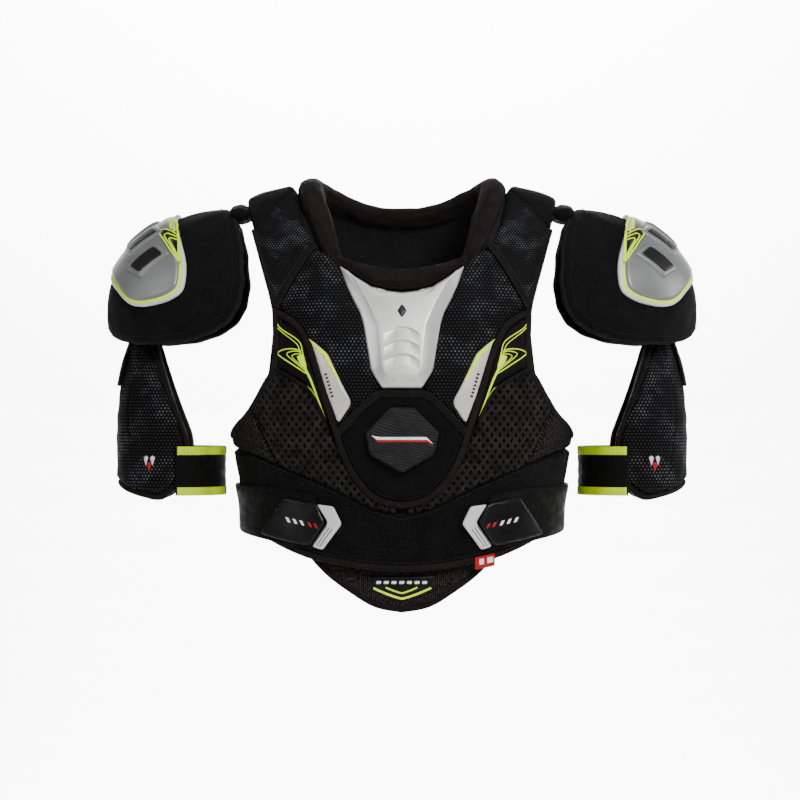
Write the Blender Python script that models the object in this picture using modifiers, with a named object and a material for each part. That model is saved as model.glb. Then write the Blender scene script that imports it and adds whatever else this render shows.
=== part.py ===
"""Hockey shoulder pads in the shape that they take on the wearer: vest, caps, biceps guards, straps and belly pad.

Metres, +Z up, the front faces -Y and the wearer's left is +X. The origin lies midway between the shoulders,
at the height where the yokes rest on them. Outlines are in millimetres, as seen from the front.
"""

import math

import bpy
from mathutils import Vector
from mathutils.geometry import delaunay_2d_cdt

MM = 0.001

# The vest's outer surface. Below CHEST_Z it is a tube of superellipses, above it an arch over each shoulder.
CHEST_Z = -185 * MM
GIRTH_RADIUS = 160 * MM
ARCH_RADIUS = 150 * MM
GIRTH_POWER = 2.5
ARCH_POWER = 1.8
SHOULDER_TOP = 26 * MM
SHOULDER_TOP_X = 95 * MM
SHOULDER_SLOPE = 0.30
NECK_HALF_WIDTH = 72 * MM
# (height along the surface from the chest line, half width), and the same for the depths in front and behind.
HALF_WIDTHS = [(-170, 156), (-105, 156), (-77, 161), (-43, 167), (0, 173), (60, 182), (120, 195), (236, 210)]
FRONT_DEPTHS = [(-170, 122), (-95, 122), (-40, 129), (0, 132), (236, 132)]
BACK_DEPTHS = [(-170, 96), (-95, 96), (-40, 106), (0, 115), (236, 118)]

# The shoulder cap is part of an ellipsoid over the left deltoid.
CAP_CENTRE = Vector((165, 0, -100)) * MM
CAP_RADII = Vector((124, 95, 102)) * MM
CAP_LEAN = math.radians(42)
CAP_MAP_RADIUS = 105 * MM
CAP_THICKNESS = 14 * MM

# The biceps guard is part of a tube round the left upper arm.
ARM_X, ARM_Y = 220 * MM, 4 * MM
GUARD_RADII = [(-300, 59), (-220, 59), (-175, 56), (-150, 51), (-128, 44), (-100, 40)]
GUARD_THICKNESS = 13 * MM
ARM_STRAP_X, ARM_STRAP_Y = 45 * MM, 61.5 * MM
ARM_STRAP_TOP, ARM_STRAP_BOTTOM = -230, -278

# Layers of the vest, as heights over its outer surface.
CORE = (-12.5 * MM, 5.5 * MM)
PANEL = (-5.5 * MM, 5.5 * MM)
OVERLAY = (1.2 * MM, 2 * MM)
STRAP = (1.5 * MM, 2.5 * MM)
BEHIND_CORE = (-23 * MM, 9 * MM)

SPACING = 25 * MM
SEAM_GAP = 1.1
BINDING_WIDTH = 6.5

# Joint axes.
FOLD_AXIS = Vector((0, -12, -10)) * MM
CAP_AXIS = Vector((151.5, 0, 0)) * MM
SWING_AXIS = Vector((220, 4, -108)) * MM
BELLY_PEEL_X = 134
ARM_PEEL_DEG = 135
CAP_FLAP_RADIUS = 6.5 * MM

# Lines of the pattern on the wearer's left half, in millimetres: (x, z).
SHIELD_BORDER = [
    (122, -100), (105, -117), (88.5, -140.5), (74, -181), (65, -209), (58, -232), (49, -252), (36, -270), (20, -281.5),
    (0, -286),
]
SHIELD_TOP = [(0, -179.5), (19.5, -179.5), (30, -185), (52, -207), (63, -219)]
PLATE_EDGE = [(0, -82), (15, -80.5), (30, -76), (44, -67.5), (60.5, -55.5), (53, -76), (46, -91), (40.5, -101), (37, -112),
              (34, -130), (29.5, -157), (19, -174), (0, -174)]
YOKE_SEAM = [(85, -36), (122, -97)]
GRAPHIC_SEAM = [(124, -154), (105, -164.5), (87, -178), (73, -206)]
ARMHOLE = [(148, -14), (137, -52), (126, -92), (124, -112), (124, -150), (133, -168), (148, -194), (160, -207)]
MESH_LOWER = [(0, -297), (27.5, -290), (49.5, -279), (72, -268), (100, -256), (132, -243), (150, -236)]
HEM = [(0, -348.5), (22, -347.5), (44, -345), (66, -341), (90, -336), (115, -326), (140, -313)]
COLLAR_TOP = [(0, -60.5), (20, -58.5), (40, -54), (61, -47)]
COLLAR_LOW = [(61, -54), (44, -66), (30, -74.5), (15, -79), (0, -80.5)]


def table(points, at):
    """The value between the table's points, on a smooth curve through them. Both columns are in millimetres."""
    at = min(max(at / MM, points[0][0]), points[-1][0])
    last = len(points) - 1
    i = max(k for k in range(last) if points[k][0] <= at)

    def slope(k):
        before, after = points[max(k - 1, 0)], points[min(k + 1, last)]
        return (after[1] - before[1]) / (after[0] - before[0])

    (x0, y0), (x1, y1) = points[i], points[i + 1]
    step = x1 - x0
    f = (at - x0) / step
    return MM * (
        y0 * (1 + 2 * f) * (1 - f) ** 2 + y1 * f * f * (3 - 2 * f)
        + slope(i) * step * f * (1 - f) ** 2 - slope(i + 1) * step * f * f * (1 - f)
    )


def signed_power(value, power):
    return math.copysign(abs(value) ** power, value)


def shoulder_height(x):
    """The top of the arch over the shoulder at this distance from the middle."""
    return SHOULDER_TOP - SHOULDER_SLOPE * (max(abs(x), NECK_HALF_WIDTH) - SHOULDER_TOP_X)


def torso(u, v, facing=1):
    """A point of the vest's outer surface. u runs round the girth and v up it. facing is 1 in front and -1 behind."""
    angle, arch = u / GIRTH_RADIUS, max(v, 0) / ARCH_RADIUS
    level = min(v, math.pi * ARCH_RADIUS - v)
    x = table(HALF_WIDTHS, level) * signed_power(math.sin(angle), 2 / GIRTH_POWER)
    share = signed_power(math.cos(angle), 2 / GIRTH_POWER) * signed_power(math.cos(arch), 2 / ARCH_POWER)
    forward = share * facing
    y = -forward * table(FRONT_DEPTHS if forward > 0 else BACK_DEPTHS, level)
    rise = math.sin(arch) ** (2 / ARCH_POWER)
    z = CHEST_Z + min(v, 0) + (shoulder_height(x) - CHEST_Z) * rise
    return Vector((x, y, z))


def torso_front(u, v):
    return torso(u, v)


def torso_back(u, v):
    return torso(u, v, facing=-1)


def arch(x, degrees):
    """The surface coordinates of a place given by x in millimetres and its angle over the shoulder."""
    v = math.radians(degrees) * ARCH_RADIUS
    half_width = table(HALF_WIDTHS, min(v, math.pi * ARCH_RADIUS - v))
    u = math.asin(min(abs(x) * MM / half_width, 1) ** (GIRTH_POWER / 2)) * GIRTH_RADIUS
    return (-u if x < 0 else u), v


def seen(x, z):
    """The surface coordinates of a place seen from straight ahead, in millimetres."""
    above = z * MM - CHEST_Z
    if above > 0:
        share = min(above / (shoulder_height(x * MM) - CHEST_Z), 1)
        return arch(x, math.degrees(math.asin(share ** (ARCH_POWER / 2))))
    half_width = table(HALF_WIDTHS, above)
    u = math.asin(min(abs(x) * MM / half_width, 1) ** (GIRTH_POWER / 2)) * GIRTH_RADIUS
    return (-u if x < 0 else u), above


def girth(degrees, z):
    """The surface coordinates of a place given by its angle round the body and its height in millimetres."""
    return math.radians(degrees) * GIRTH_RADIUS, z * MM - CHEST_Z


def cap_dome(u, v):
    """A point of the left cap's outer surface, on a map centred on the cap's upper outer side."""
    away, turn = math.hypot(u, v) / CAP_MAP_RADIUS, math.atan2(v, u)
    middle = Vector((math.cos(CAP_LEAN), 0, math.sin(CAP_LEAN)))
    to_front, to_top = Vector((0, -1, 0)), Vector((-math.sin(CAP_LEAN), 0, math.cos(CAP_LEAN)))
    direction = middle * math.cos(away) + (to_front * math.cos(turn) + to_top * math.sin(turn)) * math.sin(away)
    return CAP_CENTRE + direction * CAP_RADII


def cap_seen(x, z):
    """The map coordinates of a place on the cap's front half, seen from straight ahead, in millimetres."""
    across, up = (x * MM - CAP_CENTRE.x) / CAP_RADII.x, (z * MM - CAP_CENTRE.z) / CAP_RADII.z
    size = max(math.hypot(across, up), 1)
    across, up = across / size, up / size
    forward = math.sqrt(max(1 - across * across - up * up, 0))
    outward = across * math.cos(CAP_LEAN) + up * math.sin(CAP_LEAN)
    along = up * math.cos(CAP_LEAN) - across * math.sin(CAP_LEAN)
    away, turn = math.acos(max(-1, min(outward, 1))), math.atan2(along, forward)
    return away * math.cos(turn) * CAP_MAP_RADIUS, away * math.sin(turn) * CAP_MAP_RADIUS


def guard_tube(u, v):
    """A point of the left biceps guard's outer surface. u runs round the arm from its outer side to the front."""
    radius = table(GUARD_RADII, v)
    turn = u / (GUARD_RADII[0][1] * MM)
    return Vector((ARM_X + radius * math.cos(turn), ARM_Y - radius * math.sin(turn), v))


def guard_at(degrees, z):
    return math.radians(degrees) * GUARD_RADII[0][1] * MM, z * MM


def strap_loop(u, v):
    """A point of the elastic strap round the inner side of the left arm."""
    turn = u / ARM_STRAP_Y
    return Vector((ARM_X + ARM_STRAP_X * math.cos(turn), ARM_Y - ARM_STRAP_Y * math.sin(turn), v))


def strap_at(degrees, z):
    return math.radians(degrees) * ARM_STRAP_Y, z * MM


def raised(surface, u, v, height):
    """A point at this height over a surface."""
    step = 0.2 * MM
    across = surface(u + step, v) - surface(u - step, v)
    along = surface(u, v + step) - surface(u, v - step)
    normal = across.cross(along).normalized()
    if surface is torso_back:
        normal.negate()
    elif surface in (cap_dome, guard_tube, strap_loop) and normal.dot(surface(u, v) - centre_of(surface, v)) < 0:
        normal.negate()
    return surface(u, v) + normal * height


def centre_of(surface, v):
    return CAP_CENTRE if surface is cap_dome else Vector((ARM_X, ARM_Y, v))


def curve(points, steps=3):
    """A smooth line through the points."""
    line = []
    for i in range(len(points) - 1):
        p0, p1, p2, p3 = (Vector(points[min(max(k, 0), len(points) - 1)]) for k in (i - 1, i, i + 1, i + 2))
        for step in range(steps):
            f = step / steps
            line.append(tuple(
                0.5 * (2 * p1 + (p2 - p0) * f + (2 * p0 - 5 * p1 + 4 * p2 - p3) * f * f
                       + (3 * p1 - p0 - 3 * p2 + p3) * f ** 3)
            ))
    return line + [tuple(points[-1])]


def beside(line, distance):
    """The line moved sideways, to its left where the distance is positive. All in millimetres."""
    moved = []
    for i, point in enumerate(line):
        before, after = Vector(line[max(i - 1, 0)]), Vector(line[min(i + 1, len(line) - 1)])
        along = (after - before).normalized()
        moved.append((point[0] - along.y * distance, point[1] + along.x * distance))
    return moved


def strip(line, width):
    """The outline of a tape of this width along a line."""
    return beside(line, width / 2) + beside(line, -width / 2)[::-1]


def both_halves(half):
    """A closed outline from its left half, whose first and last points lie on the middle line."""
    return [(0, half[0][1])] + half[1:-1] + [(0, half[-1][1])] + [(-x, z) for x, z in half[-2:0:-1]]


def across(line):
    """A line that ends on the middle line, carried on into the right half."""
    return line[:-1] + [(0, line[-1][1])] + [(-x, z) for x, z in line[-2::-1]]


def area(outline):
    return sum(a[0] * b[1] - a[1] * b[0] for a, b in zip(outline, outline[1:] + outline[:1])) / 2


def evenly(outline, spacing):
    """The outline with points added, so that none of its edges is longer than the spacing."""
    points = []
    for a, b in zip(outline, outline[1:] + outline[:1]):
        parts = max(math.ceil(math.dist(a, b) / spacing), 1)
        points += [(a[0] + (b[0] - a[0]) * k / parts, a[1] + (b[1] - a[1]) * k / parts) for k in range(parts)]
    return points


def inside(outline, point):
    x, y = point
    crossed = False
    for (x0, y0), (x1, y1) in zip(outline, outline[1:] + outline[:1]):
        if (y0 > y) != (y1 > y) and x < x0 + (y - y0) / (y1 - y0) * (x1 - x0):
            crossed = not crossed
    return crossed


def distance_to(outline, point):
    best = math.inf
    for a, b in zip(outline, outline[1:] + outline[:1]):
        a, b, p = Vector(a), Vector(b), Vector(point)
        share = max(0, min(1, (p - a).dot(b - a) / max((b - a).length_squared, 1e-12)))
        best = min(best, (a + (b - a) * share - p).length)
    return best


def triangulated(outline, spacing):
    """The points and triangles of a flat outline, with inner points on a triangular grid."""
    if area(outline) < 0:
        outline = outline[::-1]
    rim = evenly(outline, spacing)
    low = [min(p[k] for p in rim) for k in (0, 1)]
    high = [max(p[k] for p in rim) for k in (0, 1)]
    row_height = spacing * math.sqrt(3) / 2
    inner = []
    for row in range(int((high[1] - low[1]) / row_height) + 1):
        for column in range(int((high[0] - low[0]) / spacing) + 2):
            point = (low[0] + (column + 0.5 * (row % 2)) * spacing, low[1] + (row + 0.5) * row_height)
            if inside(rim, point) and distance_to(rim, point) > 0.45 * spacing:
                inner.append(point)
    points = [Vector(p) for p in rim + inner]
    found = delaunay_2d_cdt(points, [], [list(range(len(rim)))], 1, 1e-7)
    return found[0], found[2]


def material(name, colour, roughness, metallic=0.0):
    made = bpy.data.materials.new(name)
    made.use_nodes = True
    shader = made.node_tree.nodes["Principled BSDF"]
    shader.inputs["Base Color"].default_value = (*colour, 1)
    shader.inputs["Roughness"].default_value = roughness
    shader.inputs["Metallic"].default_value = metallic
    return made


def placed(name, data, body, finish):
    """A new object in the pads' collection, moving with its body's empty."""
    made = bpy.data.objects.new(name, data)
    pads.objects.link(made)
    data.materials.append(FINISHES[finish])
    made.parent = BODIES[body]
    made.matrix_parent_inverse = BODIES[body].matrix_world.inverted()
    return made


def panel(name, body, finish, surface, outline, layer, spacing=SPACING, relief=None):
    """A sheet laid on a surface and thickened outwards. layer is its inner height and its thickness."""
    height, thickness = layer
    flat, faces = triangulated(outline, spacing)
    points = [raised(surface, p.x, p.y, height + (relief(p) if relief else 0)) for p in flat]
    middle = sum(points, Vector()) / len(points)
    mesh = bpy.data.meshes.new(name)
    mesh.from_pydata([p - middle for p in points], [], faces)
    inner = flat[0]
    outward = raised(surface, inner.x, inner.y, 1 * MM) - raised(surface, inner.x, inner.y, 0)
    facing_out = sum((f.normal.dot(outward) for f in mesh.polygons if 0 in f.vertices), 0.0)
    if facing_out < 0:
        mesh.flip_normals()
    made = placed(name, mesh, body, finish)
    made.location = middle
    thicken = made.modifiers.new("Thickness", "SOLIDIFY")
    thicken.thickness = thickness
    thicken.offset = 1
    thicken.use_even_offset = True
    thicken.thickness_clamp = 0
    return made


def on_torso(points):
    return [seen(x, z) for x, z in points]


def tube(name, body, finish, points, radii):
    """A padded roll along points, with a radius for each."""
    data = bpy.data.curves.new(name, "CURVE")
    data.dimensions = "3D"
    data.bevel_depth = 1
    data.bevel_resolution = 2
    data.use_fill_caps = True
    spline = data.splines.new("POLY")
    spline.points.add(len(points) - 1)
    middle = sum(points, Vector()) / len(points)
    for place, point, radius in zip(spline.points, points, radii):
        place.co = (*(point - middle), 1)
        place.radius = radius
    made = placed(name, data, body, finish)
    made.location = middle
    return made


def mirrored(original):
    """The right-hand copy of a left-hand piece, as an object of its own."""
    name = original.name.replace("left_", "right_")
    body = original.parent.name.replace("left_", "right_")
    data = original.data.copy()
    data.name = name
    if original.type == "MESH":
        for vertex in data.vertices:
            vertex.co.x = -vertex.co.x
        data.flip_normals()
    else:
        for point in data.splines[0].points:
            point.co.x = -point.co.x
    data.materials.clear()
    made = placed(name, data, body, original.active_material.name)
    made.location = original.location * Vector((-1, 1, 1))
    for modifier in original.modifiers:
        copy = made.modifiers.new(modifier.name, modifier.type)
        for setting in ("thickness", "offset", "use_even_offset", "thickness_clamp"):
            setattr(copy, setting, getattr(modifier, setting))
    return made


def make_front():
    """The chest: a foam core, the panels and tapes sewn on it, the sternum plate, the collar and the belly band."""
    gap = BINDING_WIDTH / 2 + SEAM_GAP
    border = curve(SHIELD_BORDER, 2)
    top = curve(SHIELD_TOP, 1)
    armhole = curve(ARMHOLE, 2)
    side = [girth(80, z) for z in (-212, -228, -262, -302)]
    inner_border = beside(border, -gap)
    outer_border = beside(border, gap)

    neck_edge = [arch(104, 82), arch(103, 70), arch(98, 58), *on_torso([(88, -37), (75, -43), (61, -49)])]
    core = on_torso([(0, -84), (30, -78), (48, -67)]) + neck_edge[::-1] + [arch(144, 82)] + on_torso(armhole)
    core += side + on_torso(HEM[::-1])
    panel("front_core", "front", "foam", torso_front, core + [(-u, v) for u, v in core[::-1]][1:-1], CORE)

    yoke = [arch(106, 82), arch(105, 70), arch(100, 58), *on_torso([(91, -39), (119, -86), *beside(armhole, -gap)[3:0:-1]]),
            arch(139, 72), arch(140, 82)]
    panel("left_yoke_panel", "front", "dot_print", torso_front, yoke, PANEL)

    plate_side = beside(PLATE_EDGE[4:12], SEAM_GAP)
    chest = on_torso(
        [(63.5, -53), (74, -43.5), (84, -40), (116.5, -98.5), *inner_border[1:9]]
        + [(54, -202), (31, -180), *plate_side[::-1][:-1]]
    )
    panel("left_chest_panel", "front", "dot_print", torso_front, chest, PANEL)

    def plate_relief(p):
        return min(distance_to(plate_uv, p) * 0.55, 7 * MM)

    plate_uv = on_torso(both_halves(PLATE_EDGE))
    panel("sternum_plate", "front", "silver", torso_front, plate_uv, (-1.5 * MM, 3 * MM), 12 * MM, plate_relief)
    collar = on_torso(both_halves(COLLAR_TOP + COLLAR_LOW))
    panel("front_collar", "front", "ribbed", torso_front, collar, (-5.5 * MM, 9 * MM))
    roll = [raised(torso_front, *arch(x, a), -6 * MM) for x, a in ((90.5, 81), (89, 74), (85.5, 65), (79, 56), (71.5, 47.5))]
    tube("left_front_neck_roll", "front", "ribbed", roll, [12 * MM, 12 * MM, 11.5 * MM, 10.5 * MM, 7 * MM])

    shield_half = beside(top, -gap)[:-1] + [(56.6, -219.6)] + inner_border[10:]
    shield = on_torso(both_halves(shield_half))
    panel("shield_panel", "front", "black_knit", torso_front, shield, PANEL)
    make_badge()
    tape_upper, tape_lower = (across(beside(border[1:], side)) for side in (-BINDING_WIDTH / 2, BINDING_WIDTH / 2))
    tape = on_torso(tape_upper + tape_lower[::-1])
    panel("shield_border_binding", "front", "binding", torso_front, tape, (-5.5 * MM, 7 * MM))
    top_upper = beside(top, BINDING_WIDTH / 2)[:-1] + [(58, -208.5)]
    top_lower = [(57, -217.4)] + beside(top, -BINDING_WIDTH / 2)[-2::-1]
    panel("shield_top_binding", "front", "binding", torso_front, on_torso(both_halves(top_upper + top_lower)), PANEL)

    wedge = on_torso([(85, -128.5), (69.5, -142), (47, -186), (59.5, -206)])
    panel("left_wedge_insert", "front", "silver", torso_front, wedge, OVERLAY)
    graphic_top = beside(GRAPHIC_SEAM, -1)
    graphic = on_torso([(118.5, -108), *outer_border[3:7]] + [(77, -196.5), *graphic_top[-2:0:-1], (119.5, -154)])
    panel("left_graphic_panel", "front", "dark_film", torso_front, graphic, PANEL)
    mesh_top = beside(GRAPHIC_SEAM, 1)
    mesh = on_torso([(119.5, -159), *mesh_top[1:3], *outer_border[8:-1], (3, -291), (3, -295), *beside(MESH_LOWER, 1)[1:]])
    mesh += [girth(79, -228), girth(79, -218)] + on_torso([(144, -203), (131, -180), (122, -165)])
    panel("left_mesh_panel", "front", "spacer_mesh", torso_front, mesh, PANEL)
    band = on_torso([(0, -299), *beside(MESH_LOWER, -1)[1:]]) + [girth(79, -231), girth(80, -262), girth(80, -302)]
    band += on_torso([(x, z + BINDING_WIDTH) for x, z in HEM[::-1]])
    panel("loop_band", "front", "loop", torso_front, band + [(-u, v) for u, v in band[::-1]][1:-1], PANEL)
    hem = on_torso([(x, z + BINDING_WIDTH - SEAM_GAP) for x, z in HEM[:-2]] + HEM[-3::-1])
    panel("hem_binding", "front", "binding", torso_front, hem + [(-u, v) for u, v in hem[::-1]][1:-1], PANEL)
    tag = on_torso([(69, -335), (88, -331), (88, -344), (69, -348)])
    panel("woven_tag", "front", "red_label", torso_front, tag, (2 * MM, 1 * MM))
    armhole_tape = strip(armhole[1:-1], BINDING_WIDTH - 1)
    panel("left_armhole_binding", "front", "binding", torso_front, on_torso(armhole_tape), PANEL)


def make_badge():
    """The flat many-sided badge on the shield: an outline with half its thickness extruded to each side."""
    top_z, thickness = -192, 3 * MM
    half = [(0, top_z), (11.5, top_z), (35.5, -216.5), (30.5, -237.5), (0, -255)]
    middle = Vector((0, -225))
    data = bpy.data.curves.new("shield_badge", "CURVE")
    data.dimensions = "2D"
    data.fill_mode = "BOTH"
    data.extrude = thickness / 2
    spline = data.splines.new("POLY")
    outline = both_halves(half)
    spline.points.add(len(outline) - 1)
    for place, (x, z) in zip(spline.points, outline):
        place.co = (x * MM, (z - middle.y) * MM, 0, 1)
    spline.use_cyclic_u = True
    badge = placed("shield_badge", data, "front", "dark_film")
    front = min(torso(*seen(x, z)).y for x, z in outline + [(0, -225)])
    badge.location = (0, front - 1.5 * MM - thickness / 2, middle.y * MM)
    badge.rotation_euler = (math.pi / 2, 0, 0)


def make_back():
    """The back: a foam core, two printed panels, the jointed spine guard, the lumbar pad and the nape roll."""
    edge = [(144, 82), (144, 66)]
    outline = [arch(x, a) for x, a in edge] + on_torso([(136, -60), (130, -110), (136, -160), (147, -200)])
    outline += [girth(62, -240), girth(55, -300), girth(50, -325)] + on_torso([(60, -338), (0, -342)])
    outline = on_torso([(0, -23), (36, -18)]) + [arch(66, 61), arch(90, 69), arch(104, 75), arch(104, 82)] + outline
    panel("back_core", "back", "foam", torso_back, outline + [(-u, v) for u, v in outline[::-1]][1:-1], CORE)
    printed = [arch(107, 81), arch(106.5, 73), arch(92, 65), arch(68, 57)] + on_torso([(46, -32), (46, -100), (40, -186)])
    printed += on_torso([(138, -186), (128, -158), (122, -112), (128, -62)]) + [arch(136, 68), arch(136, 81)]
    panel("left_back_panel", "back", "dot_print", torso_back, printed, PANEL)
    for name, top, low, wide, narrow in (
        ("spine_plate_upper", -34, -90, 41, 38), ("spine_plate_middle", -98, -146, 38, 33),
        ("spine_plate_lower", -154, -199, 33, 22),
    ):
        plate = both_halves([(0, top), (wide * 0.7, top), (wide, top - 10), (narrow, low + 8), (narrow * 0.6, low), (0, low - 4)])
        panel(name, "back", "silver", torso_back, on_torso(plate), (-2.5 * MM, 6 * MM), 20 * MM)
    lumbar = on_torso([(0, -214), (26, -210), (34, -190.5), (140, -190.5), (147, -204)]) + [girth(60, -240), girth(53, -300), girth(48, -322)] + on_torso([(58, -334), (0, -338)])
    panel("lumbar_pad", "back", "spacer_mesh", torso_back, lumbar + [(-u, v) for u, v in lumbar[::-1]][1:-1], PANEL)
    half = [(90.5, 85), (88.5, 94), (81, 104), (64, 112.5), (42, 118), (21, 120.5), (0, 121)]
    roll = [raised(torso_front, *arch(x, a), -6 * MM) for x, a in half + [(-x, a) for x, a in half[-2::-1]]]
    tube("nape_roll", "back", "ribbed", roll, [12 * MM] * len(roll))
    shoulder = [arch(105, 84), arch(142, 84), arch(142, 96), arch(105, 96)]
    panel("left_shoulder_arch", "back", "black_knit", torso_front, shoulder, (-12.5 * MM, 13 * MM), 20 * MM)
    flap = [Vector((CAP_AXIS.x, y * MM, CAP_AXIS.z - y * y * 0.004 * MM)) for y in (-34, -17, 0, 17, 34)]
    tube("left_cap_flap", "back", "black_knit", flap, [CAP_FLAP_RADIUS] * 5)
    peel = math.degrees(seen(BELLY_PEEL_X, -295)[0] / GIRTH_RADIUS) + 1.2
    elastic = [girth(a, z) for a, z in ((peel, -267.5), (90, -266), (128, -266), (128, -312), (90, -312), (peel, -319))]
    panel("left_belly_elastic", "back", "elastic", torso_front, elastic, STRAP)


def make_belly_tab():
    """The front end of the belly strap, which peels off the loop band: elastic, film patch and silver chevron."""
    peel = math.degrees(seen(BELLY_PEEL_X, -295)[0] / GIRTH_RADIUS)
    end = [girth(peel, -268)] + on_torso([(117, -270), (82, -276), (76, -300), (86, -329)]) + [girth(peel, -318.5)]
    panel("left_strap_end", "left_belly_tab", "elastic", torso_front, end, STRAP)
    patch = on_torso([(110, -278.5), (78, -284.5), (70.5, -302), (85.5, -323.5), (131, -313.5)])
    panel("left_strap_patch", "left_belly_tab", "dark_film", torso_front, patch, (5.2 * MM, 2 * MM))
    chevron = on_torso([(76, -285), (64.5, -286.5), (56.5, -303.5), (74, -328), (84, -324.5), (68.5, -302)])
    panel("left_strap_chevron", "left_belly_tab", "silver", torso_front, chevron, (2.5 * MM, 2 * MM))


def make_extension_pad():
    """The removable belly pad, which hooks on behind the core and slides down off it."""
    low = curve([(0, -388), (27, -383), (53, -368.5), (76, -353), (93, -337)], 2)
    outline = on_torso(both_halves([(0, -302), (48, -302), (60, -318), (88, -328)] + low[::-1]))
    panel("extension_pad", "extension", "spacer_mesh", torso_front, outline, BEHIND_CORE)
    badge = on_torso(both_halves([(0, -354), (32, -353.5), (28, -368), (0, -378)]))
    panel("extension_badge", "extension", "dark_film", torso_front, badge, (-12.8 * MM, 2 * MM))


def make_cap():
    """The shoulder cap: a thick foam pad, the moulded insert on it and the hard shell in it."""
    front = [(160, -14), (155, -38), (153, -70), (157, -92), (166, -108), (182, -119.5), (205, -127.5), (232, -130.5), (258, -130.5), (275, -127)]
    half = [cap_seen(168, 2)] + [cap_seen(x, z) for x, z in front] + [cap_seen(287, -121)]
    outline = half + [(-u, v) for u, v in half[-2:0:-1]]
    panel("left_cap_pad", "left_cap", "black_knit", cap_dome, outline, (-CAP_THICKNESS, CAP_THICKNESS))
    front = [(214, -28), (209, -46), (207, -62), (209, -78), (216, -86), (229, -92), (247, -95.5), (262, -93), (273, -82)]
    half = [cap_seen(216, -6)] + [cap_seen(x, z) for x, z in front] + [cap_seen(282, -66)]
    outline = half + [(-u, v) for u, v in half[-2:0:-1]]
    panel("left_cap_insert", "left_cap", "silver", cap_dome, outline, (1.9 * MM, 3.2 * MM), 22 * MM)
    front = [(178, -30), (172, -60), (180, -88), (205, -103), (240, -108)]
    half = [cap_seen(192, -1)] + [cap_seen(x, z) for x, z in front] + [cap_seen(286, -106)]
    outline = half + [(-u, v) for u, v in half[-2:0:-1]]
    panel("left_cap_shell", "left_cap", "hard_plastic", cap_dome, outline, (-18 * MM, 2.2 * MM))


def make_arm():
    """The biceps guard, its adjuster strap and the elastic round the arm with the end that peels off."""
    front = [(50, -129), (62, -136), (74, -156), (88, -190), (101, -222), (101, -242), (92, -268), (75, -281), (40, -274), (0, -264)]
    half = [guard_at(0, -129)] + [guard_at(a, z) for a, z in front]
    outline = half + [(-u, v) for u, v in half[-2:0:-1]]
    panel("left_biceps_pad", "left_biceps", "dot_print", guard_tube, outline, (-GUARD_THICKNESS, GUARD_THICKNESS))
    adjuster = [guard_at(a, z) for a, z in ((18, -103), (18, -172), (-18, -172), (-18, -103))]
    panel("left_adjuster_strap", "left_adjuster", "elastic", guard_tube, adjuster, (1.8 * MM, 2.2 * MM))
    top, low = ARM_STRAP_TOP, ARM_STRAP_BOTTOM
    fixed = [strap_at(a, z) for a, z in ((ARM_PEEL_DEG + 1.5, low), (266, low), (266, top), (ARM_PEEL_DEG + 1.5, top))]
    panel("left_arm_strap", "left_biceps", "elastic", strap_loop, fixed, (0, 2.2 * MM))
    tab = [strap_at(a, z) for a, z in ((91, low), (ARM_PEEL_DEG, low), (ARM_PEEL_DEG, top), (91, top))]
    panel("left_arm_strap_tab", "left_arm_tab", "elastic", strap_loop, tab, (0, 2.2 * MM))


def body_empty(name, place):
    made = bpy.data.objects.new(name, None)
    made.empty_display_size = 20 * MM
    made.location = place
    pads.objects.link(made)
    return made


for old in list(bpy.data.objects):
    bpy.data.objects.remove(old)
pads = bpy.data.collections.new("hockey_shoulder_pads")
bpy.context.scene.collection.children.link(pads)

FINISHES = {
    name: material(name, colour, roughness)
    for name, colour, roughness in (
        ("foam", (0.030, 0.030, 0.032), 0.9), ("dot_print", (0.022, 0.022, 0.025), 0.75),
        ("black_knit", (0.012, 0.012, 0.013), 0.9), ("ribbed", (0.020, 0.016, 0.014), 0.9),
        ("binding", (0.026, 0.021, 0.018), 0.85), ("silver", (0.52, 0.53, 0.53), 0.35),
        ("dark_film", (0.035, 0.035, 0.037), 0.4), ("spacer_mesh", (0.03, 0.03, 0.03), 0.85),
        ("loop", (0.010, 0.010, 0.011), 0.95), ("elastic", (0.022, 0.019, 0.017), 0.9),
        ("hard_plastic", (0.02, 0.02, 0.02), 0.5), ("red_label", (0.55, 0.02, 0.03), 0.7),
    )
}
peel_point = raised(torso_front, *seen(BELLY_PEEL_X, -295), 4 * MM)
arm_peel = strap_loop(*strap_at(ARM_PEEL_DEG + 0.75, -254))
JOINT_PLACES = {
    "back": Vector(), "front": FOLD_AXIS, "extension": Vector((0, -110, -345)) * MM, "left_cap": CAP_AXIS,
    "left_adjuster": SWING_AXIS, "left_biceps": SWING_AXIS, "left_belly_tab": peel_point, "left_arm_tab": arm_peel,
}
BODIES = {name: body_empty(name, place) for name, place in JOINT_PLACES.items()}
for name in [n for n in JOINT_PLACES if n.startswith("left_")]:
    right = name.replace("left_", "right_")
    BODIES[right] = body_empty(right, JOINT_PLACES[name] * Vector((-1, 1, 1)))
bpy.context.view_layer.update()

make_front()
make_back()
make_belly_tab()
make_extension_pad()
make_cap()
make_arm()
for piece in [o for o in pads.objects if o.name.startswith("left_") and o.type != "EMPTY"]:
    mirrored(piece)
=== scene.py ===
"""The looks of ice hockey shoulder pads: padded panels, bindings, stitching, prints and moulded plates."""

import math

import bpy
import numpy as np
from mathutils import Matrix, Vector
from mathutils.geometry import delaunay_2d_cdt


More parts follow.
